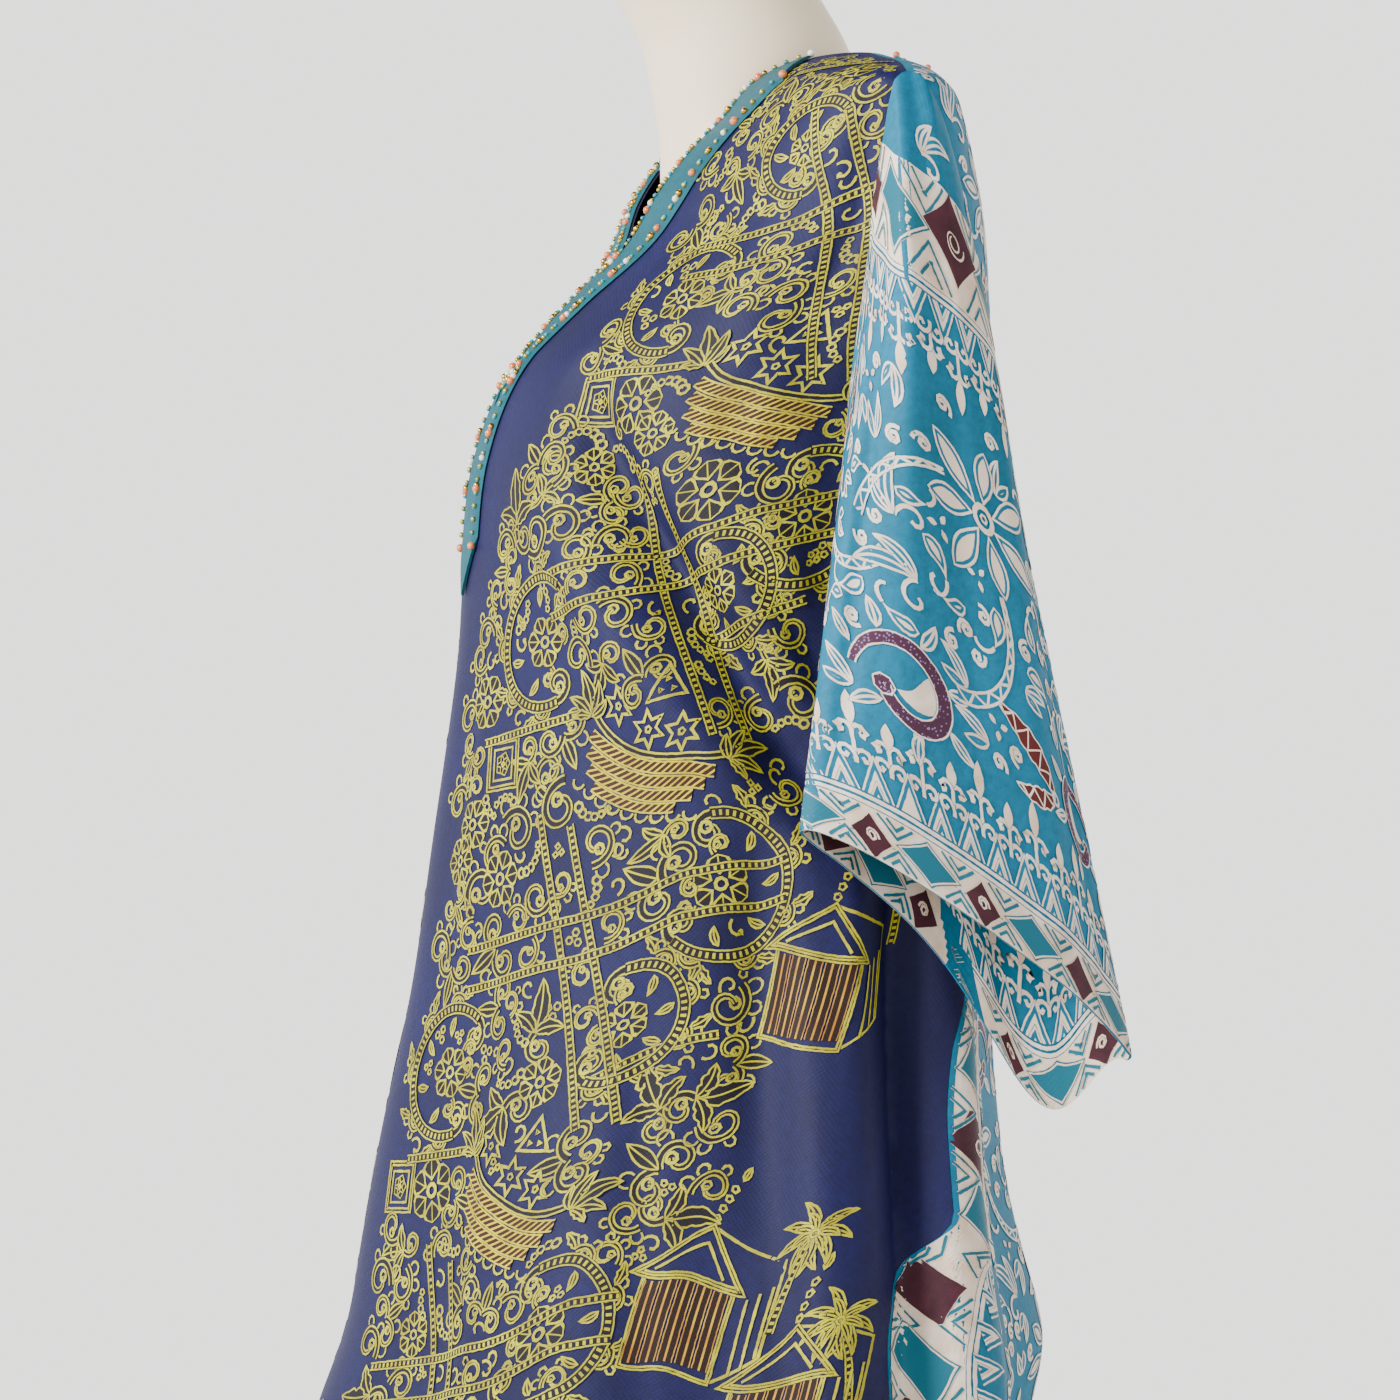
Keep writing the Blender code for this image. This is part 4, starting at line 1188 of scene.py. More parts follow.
    def leaf(
        self,
        start: Sequence[float],
        heading: float,
        length: float,
        half: float,
        ink: Inks,
        bend: float = 0.0,
        lobes: int = 0,
        full_at: float = 0.45,
        layer: float = 0.0,
    ) -> Array:
        """Draws a pointed leaf or petal.

        Args:
            start: its stalk's end.
            heading: its direction at the start, in degrees.
            length: its length.
            half: its greatest half width.
            ink: how it is printed.
            bend: how far it turns to the left from end to end, in degrees.
            lobes: how many scallops its edges have.
            full_at: where along it is widest, 0 to 1.
            layer: extra height above the cloth.

        Returns:
            Its middle line.
        """
        radius = length / math.radians(bend) if abs(bend) > 1 else 1e5
        line = curl(start, heading, length, abs(radius), abs(radius), 1 if radius > 0 else -1)
        t = np.linspace(0, 1, len(line))
        power = math.log(0.5) / math.log(full_at)
        profile = np.sin(np.pi * t**power).clip(0.0) ** 0.85
        if lobes:
            profile = profile * (0.78 + 0.30 * np.abs(np.sin(np.pi * lobes * t)))
        self.stroke(line, 0.25 + half * profile, ink, layer=layer)
        return line

    def knob(self, centre: Sequence[float], radius: float, ink: Inks, layer: float = 0.0) -> None:
        """Draws a small ring."""
        self.stroke(circle(centre, radius), max(0.75, radius * 0.36), ink, closed=True, layer=layer)

    def rosette(
        self, centre: Sequence[float], radius: float, petals: int, petal: Inks, line: Inks, turn: float = 0.0
    ) -> None:
        """Draws a flower of round petals with a ring in the middle."""
        half = radius * math.sin(math.pi / petals) * 0.86
        for k in range(petals):
            heading = turn + 360.0 * k / petals
            start = toward(centre, heading, radius * 0.30)
            self.leaf(start, heading, radius * 0.70, half, petal, full_at=0.62)
        self.knob(centre, radius * 0.20, line, layer=0.06)

    def scroll(self, start: Sequence[float], heading: float, size: float, hand: int, half: float) -> Array:
        """Draws a stem that curls in to a round knob.

        Args:
            start: where the stem starts.
            heading: its direction.
            size: the radius where it starts to curl.
            hand: 1 curls to the left and -1 to the right.
            half: the stem's half width at its start.

        Returns:
            The stem's middle line.
        """
        path = curl(start, heading, size * 4.7, size * 1.3, size * 0.42, hand)
        t = np.linspace(0, 1, len(path))
        self.stroke(path, half * (1 - 0.36 * t), Inks.PLAIN_BAND, keep=0.7)
        self.knob(path[-1], max(1.8, half * 1.1), Inks.LINE, layer=0.05)
        return path

    def foam(self, path: Array, hand: int, shares: Sequence[float], radius: float) -> None:
        """Draws small open rings on the outside of a stem, as scallops.

        Args:
            path: the stem's middle line.
            hand: the side to which the stem curls.
            shares: where along the stem they sit.
            radius: of the first ring. Each one is a little smaller than the one before.
        """
        for k, share in enumerate(shares):
            at = int(share * (len(path) - 2))
            move = path[at + 1] - path[at]
            facing = math.degrees(math.atan2(move[1], move[0])) - 90.0 * hand
            size = radius * (1 - 0.12 * k)
            ring = circle(toward(path[at], facing, size + 0.9), size, facing - 125, 250)
            self.stroke(ring, 0.82, Inks.LINE, keep=0.4)

    def fill(
        self,
        makers: Sequence[tuple[float, Callable[["Drawing", Array, float, int, float], list[Array]]]],
        centres: Array,
        seed: int,
        limit: float = 0.05,
        grow: float = 1.0,
    ) -> int:
        """Sets small figures in the ground that is still free.

        Args:
            makers: each figure's share, and its function, which with draw off returns the lines it would take.
            centres: places to try, in millimetres.
            seed: for the order and the turns of the figures.
            limit: the greatest share of a figure's lines that may cross others.
            grow: how much larger than its usual size every figure is.

        Returns:
            How many figures were set.
        """
        random = np.random.default_rng(seed)
        shares = np.array([share for share, _ in makers])
        count = len(centres)
        choices = random.choice(len(makers), size=count, p=shares / shares.sum())
        turns, hands = random.uniform(0, 360, count), random.choice((-1, 1), count)
        sizes = random.uniform(0.8, 1.25, count) * grow
        placed = 0
        for index in random.permutation(count):
            maker = makers[choices[index]][1]
            how = (centres[index], float(turns[index]), int(hands[index]), float(sizes[index]))
            self.dry = True
            path = np.concatenate(maker(self, *how))
            self.dry = False
            if self.crowded(path) <= limit:
                maker(self, *how)
                placed += 1
        return placed

    def again(self, name: str, lift: float) -> "Drawing":
        """The same drawing at another height, for the cloth's other face, under another name."""
        lifts = [np.copysign(np.abs(old - self.lift) + abs(lift), lift) for old in self.lifts]
        return replace(self, name=name, lift=lift, lifts=lifts)

    def make(self) -> bpy.types.Object:
        """Wraps the drawing onto the cloth as one piece, leaving out what lies past the cloth's edges."""
        flat = np.concatenate(self.flats) / 1000 * (self.flip, 1)
        facts, lifts, faces = (np.concatenate(rows) for rows in (self.facts, self.lifts, self.faces))
        points, normals, margin = self.plan.read(flat)
        points = points + normals * lifts[:, None]
        kept = margin[faces].min(axis=1) > 0.0006
        inks = [ink for ink, keep in zip(self.inks, kept) if keep]
        used = sorted(set(inks), key=lambda ink: ink.name)
        slots = {ink: k for k, ink in enumerate(used)}
        turned = ((self.flip < 0) != self.plan.mirrored) != (self.lift < 0)
        corners = faces[kept][:, ::-1] if turned else faces[kept]
        used_points, packed = np.unique(corners.ravel(), return_inverse=True)
        mesh = bpy.data.meshes.new(self.name)
        mesh.from_pydata(points[used_points].tolist(), [], packed.reshape(-1, 4).tolist())
        for ink in used:
            mesh.materials.append(ink.material())
        mesh.polygons.foreach_set("material_index", np.array([slots[ink] for ink in inks], np.int32))
        drawn = mesh.attributes.new("drawn", "FLOAT_VECTOR", "POINT")
        drawn.data.foreach_set("vector", facts[used_points].astype(np.float32).ravel())
        lay_flat(mesh, flat[used_points])
        mesh.shade_smooth()
        LOG.info("%s: %d faces in %d prints", self.name, len(corners), len(used))
        return link(self.name, mesh)


# ---- The shirt's pieces --------------------------------------------------------------------------
@dataclass
class Panel:
    """The front or the back of the shirt, with its print."""

    body: ShirtBody
    front: bool
    cotton: Cotton
    columns: int = 56
    finer: int = 6  # rows for each row of the solid

    @property
    def name(self) -> str:
        """The piece's name."""
        return "front_cloth" if self.front else "back_cloth"

    @property
    def split_z(self) -> float:
        """Height of the neckline's lowest place, over which the piece's two halves part."""
        return V_POINT_Z if self.front else BACK_NECK_Z

    def heights(self) -> Array:
        """The rows' heights, which the front and the back share."""
        shoulder = (NECK_TOP_Z - 0.0022, 1.3590, 1.3520, BACK_NECK_Z, 1.3390, SHOULDER_Z)
        chest = np.linspace(SHOULDER_Z, V_POINT_Z, 4)[1:]
        armhole = np.linspace(V_POINT_Z, UNDERARM_Z, 7)[1:]
        skirt = np.linspace(UNDERARM_Z, HEM_Z, 15)[1:]
        coarse = np.concatenate((shoulder, chest, armhole, skirt))
        at = np.linspace(0, len(coarse) - 1, (len(coarse) - 1) * self.finer + 1)
        return np.interp(at, np.arange(len(coarse)), coarse)

    def cloth(self) -> bpy.types.Object:
        """The sheet of cloth, with its thickness."""
        z = self.heights()
        share = np.linspace(0, 1, self.columns + 1)
        outer, inner, flats, index = [], [], [], {}
        for side in (1, -1):
            start, end = side * self.body.neckline(z, self.front), self.body.edge(z, side, self.front)
            angles = start[:, None] + (end - start)[:, None] * share
            tall = np.broadcast_to(z[:, None], angles.shape)
            top, under = self.body.point(angles, tall), self.body.point(angles, tall, -CLOTH)
            width, down = lengths_along(top, 1), lengths_along(top, 0)
            for i, j in np.ndindex(angles.shape):
                if j == 0 and side < 0 and z[i] <= self.split_z + 1e-9:
                    index[side, i, j] = index[1, i, j]
                    continue
                index[side, i, j] = len(outer)
                outer.append(top[i, j])
                inner.append(under[i, j])
                flats.append((side * width[i, j], -down[i, j]))
        faces = []
        for side in (1, -1):
            for i, j in np.ndindex(len(z) - 1, self.columns):
                quad = tuple(index[side, i + di, j + dj] for di, dj in ((0, 0), (1, 0), (1, 1), (0, 1)))
                faces.append(quad if (side > 0) == self.front else quad[::-1])
        points, skin = wall(np.array(outer), np.array(inner), faces)
        return mesh_object(self.name, points, skin, once(self.cotton), np.array(flats * 2))

    def plan(self) -> CuttingPlan:
        """The cutting plan: x from the centre line, y up from the underarm."""
        skirt, chest = np.linspace(HEM_Z, UNDERARM_Z, 150), np.linspace(UNDERARM_Z, NECK_TOP_Z - 0.001, 110)[1:]
        z = np.concatenate((skirt, chest))
        angles = np.linspace(-152, 152, 609) + (0.0 if self.front else 180.0)
        rows = self.body.point(*np.meshgrid(angles, z))
        places = lengths_along(rows, 1)
        middle = len(angles) // 2
        places -= places[:, middle : middle + 1]
        margins = np.empty_like(places)
        edges = [self.body.edge(z, side, self.front) for side in (1, -1)]
        neck = self.body.neckline(z, self.front)
        for i in range(len(z)):
            if self.front:
                left, right, open_to = edges[0][i], edges[1][i], neck[i]
            else:
                left, right, open_to = 360.0 + edges[1][i], edges[0][i], 360.0 - neck[i]
            ends = np.interp((right, left), angles, places[i])
            margins[i] = np.minimum(places[i] - ends[0], ends[1] - places[i])
            if z[i] > self.split_z:
                opened = np.interp(open_to, angles, places[i])
                margins[i] = np.minimum(margins[i], np.abs(places[i]) - opened)
        return CuttingPlan.build(rows, places, margins, len(skirt) - 1, (-0.36, 0.36))

    def hem_path(self, rise: float, out: float) -> Array:
        """Points along the hem, at a height above it."""
        ends = [float(self.body.edge(HEM_Z + rise, side, self.front)) for side in (-1, 1)]
        if not self.front:
            ends = [ends[1], 360.0 + ends[0]]
        angles = np.linspace(ends[0], ends[1], 320)
        return self.body.point(angles, np.full(320, HEM_Z + rise), out)


@dataclass
class Sleeve:
    """One sleeve with its print."""

    tube: SleeveTube
    columns: int = 132
    steps: int = 78

    @property
    def word(self) -> str:
        """Which sleeve, in the wearer's words."""
        return "left" if self.tube.side > 0 else "right"

    def cloth(self) -> bpy.types.Object:
        """The open tube of cloth."""
        turns = 2 * np.pi * np.arange(self.columns) / self.columns
        grid = np.meshgrid(turns, np.linspace(0, 1, self.steps + 1))
        outer, inner = self.tube.point(*grid), self.tube.point(*grid, out=-CLOTH)
        return sheet_object(f"sleeve_{self.word}_cloth", outer, inner, TURQUOISE, up=-1, ring=True)

    def plan(self) -> CuttingPlan:
        """The cutting plan: x from the outer layer's middle towards the rear, y up from the cuff's hem."""
        turns = np.linspace(np.pi, -np.pi, 401)
        rows = self.tube.point(*np.meshgrid(turns, np.linspace(1.0, 0.0, 121)))
        places = lengths_along(rows, 1)
        middle = len(turns) // 2
        places -= places[:, middle : middle + 1]
        margins = np.minimum(places - places[:, :1], places[:, -1:] - places)
        return CuttingPlan.build(rows, places, margins, 0, (-0.30, 0.30), mirrored=self.tube.side < 0)

    def hem_path(self, rise: float, out: float) -> Array:
        """Points round the cuff, a little way up from its hem."""
        turns = np.linspace(0, 2 * np.pi, 421)
        return self.tube.point(turns, np.full_like(turns, 1.0 - rise / SLEEVE_DROP), out)


@dataclass
class Neckband:
    """The bands of the neck and the placket, folded strips of plain cotton."""

    body: ShirtBody
    steps: int = 96
    columns: int = 12
    thick: float = 0.0013
    rest: float = 0.0007  # from the panel up to the band's underside

    def profile(self, across: Array) -> Array:
        """How far out the folded band's face is, lower at its two folds."""
        return self.rest + 0.0003 + self.thick * (1 - np.abs(2 * across - 1) ** 7) ** 0.5

    def strip(self, name: str, angles: Array, heights: Array) -> bpy.types.Object:
        """One band from its grid of spots, along by across."""
        out = np.broadcast_to(self.profile(np.linspace(0, 1, angles.shape[1])), angles.shape)
        return sheet_object(
            name, self.body.point(angles, heights, out), self.body.point(angles, heights, self.rest), TEAL
        )

    def front_spots(self, side: int, across: Array, shares: Array) -> tuple[Array, Array]:
        """Angles and heights of one side of the V, from its point up to the shoulder."""
        rise, run = NECK_TOP_Z - V_POINT_Z, NECK_HALF
        length = math.hypot(rise, run)
        wide = BAND_WIDTH * across[None, :]
        first = -wide * rise / run / length
        along = first + (0.985 - first) * shares[:, None]
        edge = NECK_HALF * np.where(along > 0, along.clip(1e-9) ** V_CURVE, along)
        x = np.maximum(edge + wide * rise / length, SEAM_GAP / 2)
        z = V_POINT_Z + rise * along - wide * run / length
        z = np.minimum(z, self.body.shoulder_seam(x) - BAND_END)
        return self.body.angle_at(side * x, z), z

    def back_spots(self, across: Array, shares: Array) -> tuple[Array, Array]:
        """Angles and heights of the back of the neck, from right to left."""
        share = (-1 + 2 * shares)[:, None]
        wide = BAND_WIDTH * across[None, :]
        x = share * (NECK_HALF + wide * 0.9)
        base = BACK_NECK_Z + (NECK_TOP_Z - BACK_NECK_Z) * share**2
        z = base - wide * (1.0 - 0.62 * np.abs(share))
        z = np.minimum(z, self.body.shoulder_seam(np.abs(x)) - BAND_END)
        return 180.0 - self.body.angle_at(x, z), z

    def placket_spots(self, across: Array, shares: Array) -> tuple[Array, Array]:
        """Angles and heights of the pointed placket."""
        slope = (NECK_TOP_Z - V_POINT_Z) / NECK_HALF
        top_z = V_POINT_Z - BAND_WIDTH * math.hypot(1.0, slope)
        share = (-1 + 2 * across)[None, :]
        x = share * PLACKET_HALF
        start = top_z + np.abs(x) * slope - 3 * SEAM_GAP
        end = PLACKET_END_Z + PLACKET_POINT * np.abs(share)
        z = start + (end - start) * shares[:, None]
        return self.body.angle_at(x, z), z

    def build(self) -> list[bpy.types.Object]:
        """All four bands."""
        across, shares = np.linspace(0, 1, self.columns + 1), np.linspace(0, 1, self.steps + 1)
        return [
            self.strip("neckband_left_cloth", *self.front_spots(1, across, shares)),
            self.strip("neckband_right_cloth", *self.front_spots(-1, across, shares)),
            self.strip("neckband_back_cloth", *self.back_spots(across, shares)),
            self.strip("placket_cloth", *self.placket_spots(across, shares)),
        ]

    def edge_paths(self, inset: float, out: float) -> list[Array]:
        """Lines near both edges of every band, where the beads are sewn.

        Args:
            inset: how far in from the edge, as a share of the width.
            out: from the panel's surface to the line, in metres.

        Returns:
            One line for each edge.
        """
        shares = np.linspace(0.01, 1, 260)
        lines = []
        for edge in (inset, 1 - inset):
            column = np.array([edge])
            for side in (1, -1):
                lines.append(self.front_spots(side, column, shares))
            lines.append(self.back_spots(column, np.linspace(0, 1, 260)))
            lines.append(self.placket_spots(column, np.linspace(0.02, 0.98, 260)))
        return [self.body.point(angles[:, 0], heights[:, 0], out) for angles, heights in lines]


class BeadKind(Enum):
    """The beads sewn along the bands: name, finish, size, spacing, and how many of a line's points are skipped."""

    OLIVE_SEED = ("olive_seed_beads", OLIVE_BEAD, 0.0027, 0.0068, 0)
    TEAL_SEED = ("teal_seed_beads", TEAL_BEAD, 0.0024, 0.0068, 3)
    GOLD = ("gold_beads", GOLD_BEAD, 0.0038, 0.0243, 6)
    CORAL = ("coral_beads", CORAL_BEAD, 0.0042, 0.0297, 19)
    PEARL = ("pearl_beads", PEARL_BEAD, 0.0036, 0.0378, 12)


@dataclass
class PathTrim:
    """A Geometry Nodes tree that sets a small rounded shape at even steps along lines: beads or stitches."""

    tree: bpy.types.NodeTree = field(init=False)
    sockets: dict[str, str] = field(default_factory=dict)

    def __post_init__(self) -> None:
        """Builds the tree once."""
        tree = bpy.data.node_groups.new("beads_along_lines", "GeometryNodeTree")
        face = tree.interface
        face.new_socket("Geometry", in_out="OUTPUT", socket_type="NodeSocketGeometry")
        face.new_socket("Geometry", in_out="INPUT", socket_type="NodeSocketGeometry")
        for label, kind in (
            ("Spacing", "NodeSocketFloat"),
            ("Size", "NodeSocketVector"),
            ("Unevenness", "NodeSocketFloat"),
            ("Seed", "NodeSocketInt"),
            ("Material", "NodeSocketMaterial"),
        ):
            self.sockets[label] = face.new_socket(label, in_out="INPUT", socket_type=kind).identifier
        entry = add(tree, "NodeGroupInput").outputs
        curve = add(tree, "GeometryNodeMeshToCurve", {"Mesh": entry["Geometry"]})
        feeds = {"Curve": curve, "Length": entry["Spacing"]}
        spaced = add(tree, "GeometryNodeResampleCurve", feeds, mode="LENGTH")
        bead = add(tree, "GeometryNodeMeshUVSphere", {"Segments": 8, "Rings": 6, "Radius": 0.5})
        rounded = add(tree, "GeometryNodeSetShadeSmooth", {"Geometry": bead.outputs["Mesh"]})
        tangent = add(tree, "GeometryNodeInputTangent")
        along = add(tree, "FunctionNodeAlignRotationToVector", {"Vector": tangent}, axis="X")
        low, high = (calc(tree, how, 1.0, entry["Unevenness"]) for how in ("SUBTRACT", "ADD"))
        feeds = {"Min": low, "Max": high, "Seed": entry["Seed"]}
        vary = add(tree, "FunctionNodeRandomValue", feeds, data_type="FLOAT")
        size = add(tree, "ShaderNodeVectorMath", {0: entry["Size"], "Scale": vary}, operation="SCALE")
        feeds = {"Points": spaced, "Instance": rounded, "Rotation": along, "Scale": size}
        set_on = add(tree, "GeometryNodeInstanceOnPoints", feeds)
        real = add(tree, "GeometryNodeRealizeInstances", {"Geometry": set_on})
        dressed = add(tree, "GeometryNodeSetMaterial", {"Geometry": real, "Material": entry["Material"]})
        add(tree, "NodeGroupOutput", {"Geometry": dressed})
        self.tree = tree

    def run(
        self,
        name: str,
        lines: Iterable[Array],
        spacing: float,
        size: tuple[float, float, float],
        finish: Glazed,
        unevenness: float = 0.06,
        seed: int = 3,
    ) -> bpy.types.Object:
        """Sets the shapes along the lines as one plain mesh.

        Args:
            name: the piece's name.
            lines: points of each line, in metres.
            spacing: from one shape to the next.
            size: a shape's length along the line, and its two thicknesses.
            finish: what it is made of.
            unevenness: how much the sizes vary, as a share.
            seed: for the sizes.

        Returns:
            The new object.
        """
        points, edges = [], []
        for line in lines:
            edges += [(len(points) + k, len(points) + k + 1) for k in range(len(line) - 1)]
            points += [tuple(p) for p in line.tolist()]
        mesh = bpy.data.meshes.new(f"{name}_line")
        mesh.from_pydata(points, edges, [])
        guide = link(f"{name}_line", mesh)
        material = once(finish)
        modifier = guide.modifiers.new("trim", "NODES")
        modifier.node_group = self.tree
        for label, value in (
            ("Spacing", spacing),
            ("Size", size),
            ("Unevenness", unevenness),
            ("Seed", seed),
            ("Material", material),
        ):
            modifier[self.sockets[label]] = value
        graph = bpy.context.evaluated_depsgraph_get()
        made = bpy.data.meshes.new_from_object(guide.evaluated_get(graph), depsgraph=graph)
        made.name = name
        guide.modifiers.remove(modifier)
        bpy.data.objects.remove(guide, do_unlink=True)
        if not made.materials:
            made.materials.append(material)
        return link(name, made)

    def stitch(self, name: str, line: Array, thread: Glazed) -> bpy.types.Object:
        """Sets a row of stitches along a line."""
        return self.run(name, [line], STITCH_PITCH, STITCH_SIZE, thread)


# ---- Dress form and stand ------------------------------------------------------------------------
@dataclass
class DressForm:
    """The limbless dress form: one smooth moulded shell, closed at the neck by a cap."""

    columns: int = 144

    @staticmethod
    def oval(turn: Array, half: Array, front: Array, back: Array) -> Array:
        """How far an oval reaches from its middle in each direction, 0 at the front."""
        depth = np.where(np.cos(turn) > 0, front, back)
        return 1.0 / np.hypot(np.sin(turn) / half, np.cos(turn) / depth)

    def section(self, turn: Array, z: float) -> Array:
        """Points of one section: the body's oval and the neck's oval, blended."""
        half, middle, front, back = (smooth_read(FORM, z, column) for column in (1, 2, 3, 4))
        neck_half, neck_y, neck_depth = (smooth_read(NECK, z, column) for column in (1, 2, 3))
        in_body, in_neck = z < FORM[-1, 0], z > NECK[0, 0]
        centre = neck_y if in_neck else middle
        reach = np.zeros_like(turn)
        if in_body:
            reach += self.oval(turn, half, centre - front, back - centre) ** NECK_BLEND
        if in_neck:
            reach += self.oval(turn, neck_half, neck_depth, neck_depth) ** NECK_BLEND
        reach **= 1.0 / NECK_BLEND
        return np.stack((reach * np.sin(turn), centre - reach * np.cos(turn), np.full_like(turn, z)), axis=1)

    def build(self) -> bpy.types.Object:
        """The shell."""
        turn = 2 * np.pi * np.arange(self.columns) / self.columns
        chest, shoulder = np.linspace(0.750, 1.25, 60), np.linspace(1.256, 1.358, 60)
        heights = np.concatenate((FORM[:3, 0], chest, shoulder, np.linspace(1.362, NECK[-1, 0], 26)))
        return ringed_object("form_shell", [self.section(turn, float(z)) for z in heights], SHELL, 40)


@dataclass
class Turned:
    """A round piece turned to an outline, standing upright."""

    name: str
    outline: tuple[tuple[float, float], ...]  # radius and height, from the bottom middle to the top middle
    centre: tuple[float, float]
    finish: Glazed
    sides: int = 96

    def build(self) -> bpy.types.Object:
        """The solid of revolution, closed at both ends."""
        turn = 2 * np.pi * np.arange(self.sides) / self.sides
        ring = np.stack((np.cos(turn), np.sin(turn)), axis=1)
        rings = [
            np.concatenate((np.array(self.centre) + ring * radius, np.full((self.sides, 1), z)), axis=1)
            for radius, z in self.outline
        ]
        return ringed_object(self.name, rings, self.finish, 35)


def rounded(
    radius: float, low: float, high: float, bevel: float, steps: int = 5
) -> tuple[tuple[float, float], ...]:
    """The outline of a disc with a rounded upper rim.

    Args:
        radius: the disc's.
        low: height of its underside.
        high: height of its top.
        bevel: the rim's radius.
        steps: pieces in the rim.

    Returns:
        Radius and height of each ring.
    """
    turns = [math.pi / 2 * k / steps for k in range(steps + 1)]
    rim = [(radius - bevel + bevel * math.cos(t), high - bevel + bevel * math.sin(t)) for t in turns]
    return ((radius - 0.001, low), (radius, low + 0.001), *rim, (radius * 0.55, high), (radius * 0.1, high))


def stand_pieces() -> list[tuple[bpy.types.Object, str, str]]:
    """Base, pole, collar and neck cap, as large as the solid model says.

    Returns:
        The pieces, each with the solid it stands for and its material slot.
    """
    made = []
    for name, node, finish, slot, bevel in (
        ("stand_foot", "stand_base", ENAMEL, "white_paint", 0.0050),
        ("stand_tube", "stand_pole", STEEL, "brushed_steel", 0.0004),
        ("stand_socket", "stand_collar", ENAMEL, "white_paint", 0.0040),
        ("neck_plug", "form_neck_cap", SHELL, "cream_shell", 0.0040),
    ):
        low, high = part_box(node)
        radius, top = (high[0] - low[0]) / 2, high[2]
        centre = ((high[0] + low[0]) / 2, (high[1] + low[1]) / 2)
        outline = rounded(radius, low[2], top, bevel)
        if node == "stand_base":
            groove = ((0.1200, top - 0.0004), (0.1180, top - 0.0012), (0.1160, top - 0.0004))
            boss = ((0.0600, top), (0.0580, top + 0.0002), (0.0400, top + 0.0002), (0.0160, top))
            outline = outline[:-2] + groove + boss
        made.append((Turned(name, outline, centre, finish).build(), node, slot))
    return made


# ---- Studio --------------------------------------------------------------------------------------
@dataclass
class Studio:
    """A plain pale floor, soft lights and the camera."""

    azimuth: float = 74.0
    distance: float = 1.7
    height: float = 1.03
    aside: float = -0.035  # to the camera's right
    frame: float = 0.757  # height of the picture at the shirt
    floor_radius: float = 2.6

    def build(self) -> None:
        """Makes the floor, the lights and the camera."""
        turn = math.radians(self.azimuth)
        right = np.array((math.cos(turn), math.sin(turn), 0.0))
        back = np.array((math.sin(turn), -math.cos(turn), 0.0))
        target = right * self.aside + np.array((0.0, 0.0, self.height))
        data = bpy.data.cameras.new("camera")
        data.sensor_width = 36.0
        data.lens = 36.0 * self.distance / self.frame
        data.clip_end = 30.0
        camera = link("camera", data)
        camera.location = target + back * self.distance
        camera.rotation_euler = (math.pi / 2, 0.0, turn)
        bpy.context.scene.camera = camera
        self.floor()
        self.lights(right, back)

    def floor(self) -> None:
        """The floor, a round pale sheet."""
        ring = 2 * np.pi * np.arange(96) / 96
        points = np.stack((np.cos(ring), np.sin(ring), np.zeros(96)), axis=1) * self.floor_radius
        points[:, 2] = -0.0005
        paper = Glazed("pale_studio_floor", "#F4F2EE", "#EFEDE8", 0.8, patch_mm=600.0, bump=0.01)
        mesh_object("floor", points, [tuple(range(96))], paper.dress())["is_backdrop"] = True

    def lights(self, right: Array, back: Array) -> None:
        """A large soft key from the camera's upper left, a fill, a rim from behind and a pale room."""
        for name, place, size, power in (
            ("key", -right * 1.95 + back * 1.15 + np.array((0, 0, 2.25)), 0.8, 132.0),
            ("fill", right * 1.9 + back * 1.5 + np.array((0, 0, 1.25)), 2.0, 1.5),
            ("rim", right * 0.9 - back * 1.7 + np.array((0, 0, 2.1)), 1.4, 4.0),
        ):
            data = bpy.data.lights.new(name, "AREA")
            data.size, data.energy = size, power
            light = link(name, data)
            aim = np.array((0.0, 0.0, 1.0)) - place
            light.location = place
            light.rotation_mode = "QUATERNION"
            light.rotation_quaternion = Vector(aim).to_track_quat("-Z", "Y")
        world = bpy.data.worlds.new("room")
        world.use_nodes = True
        world.node_tree.nodes.clear()
        tree = world.node_tree
        seen = add(tree, "ShaderNodeTexCoord").outputs["Generated"]
        way = add(tree, "ShaderNodeSeparateXYZ", {"Vector": seen})
        strength = rescale(tree, calc(tree, "ABSOLUTE", way.outputs["Z"]), 0.24, 0.5, 2.2, 0.1)
        sky = add(tree, "ShaderNodeBackground", {"Color": linear("#FBFAF8"), "Strength": strength})
        add(tree, "ShaderNodeOutputWorld", {"Surface": sky})
        bpy.context.scene.world = world


# ---- The figures ---------------------------------------------------------------------------------
def free_scroll(d: Drawing, at: Array, heading: float, hand: int, size: float) -> list[Array]:
    """A scroll with scallops along its back."""
    path = d.scroll(at, heading, 7.4 * size, hand, 1.75 * size)
    d.foam(path, hand, (0.10, 0.28, 0.46), 2.7 * size)
    return [path]


def free_horns(d: Drawing, at: Array, heading: float, hand: int, size: float) -> list[Array]:
    """Two scrolls from one root, with a bud between them."""
    left = d.scroll(at, heading + 34, 5.9 * size, 1, 1.65 * size)
    right = d.scroll(at, heading - 34, 5.9 * size, -1, 1.65 * size)
    d.foam(left, 1, (0.30,), 2.6 * size)
    d.foam(right, -1, (0.30,), 2.6 * size)
    bud = d.leaf(at, heading, 15 * size, 2.9 * size, Inks.LEAF)
    return [left, right, bud]


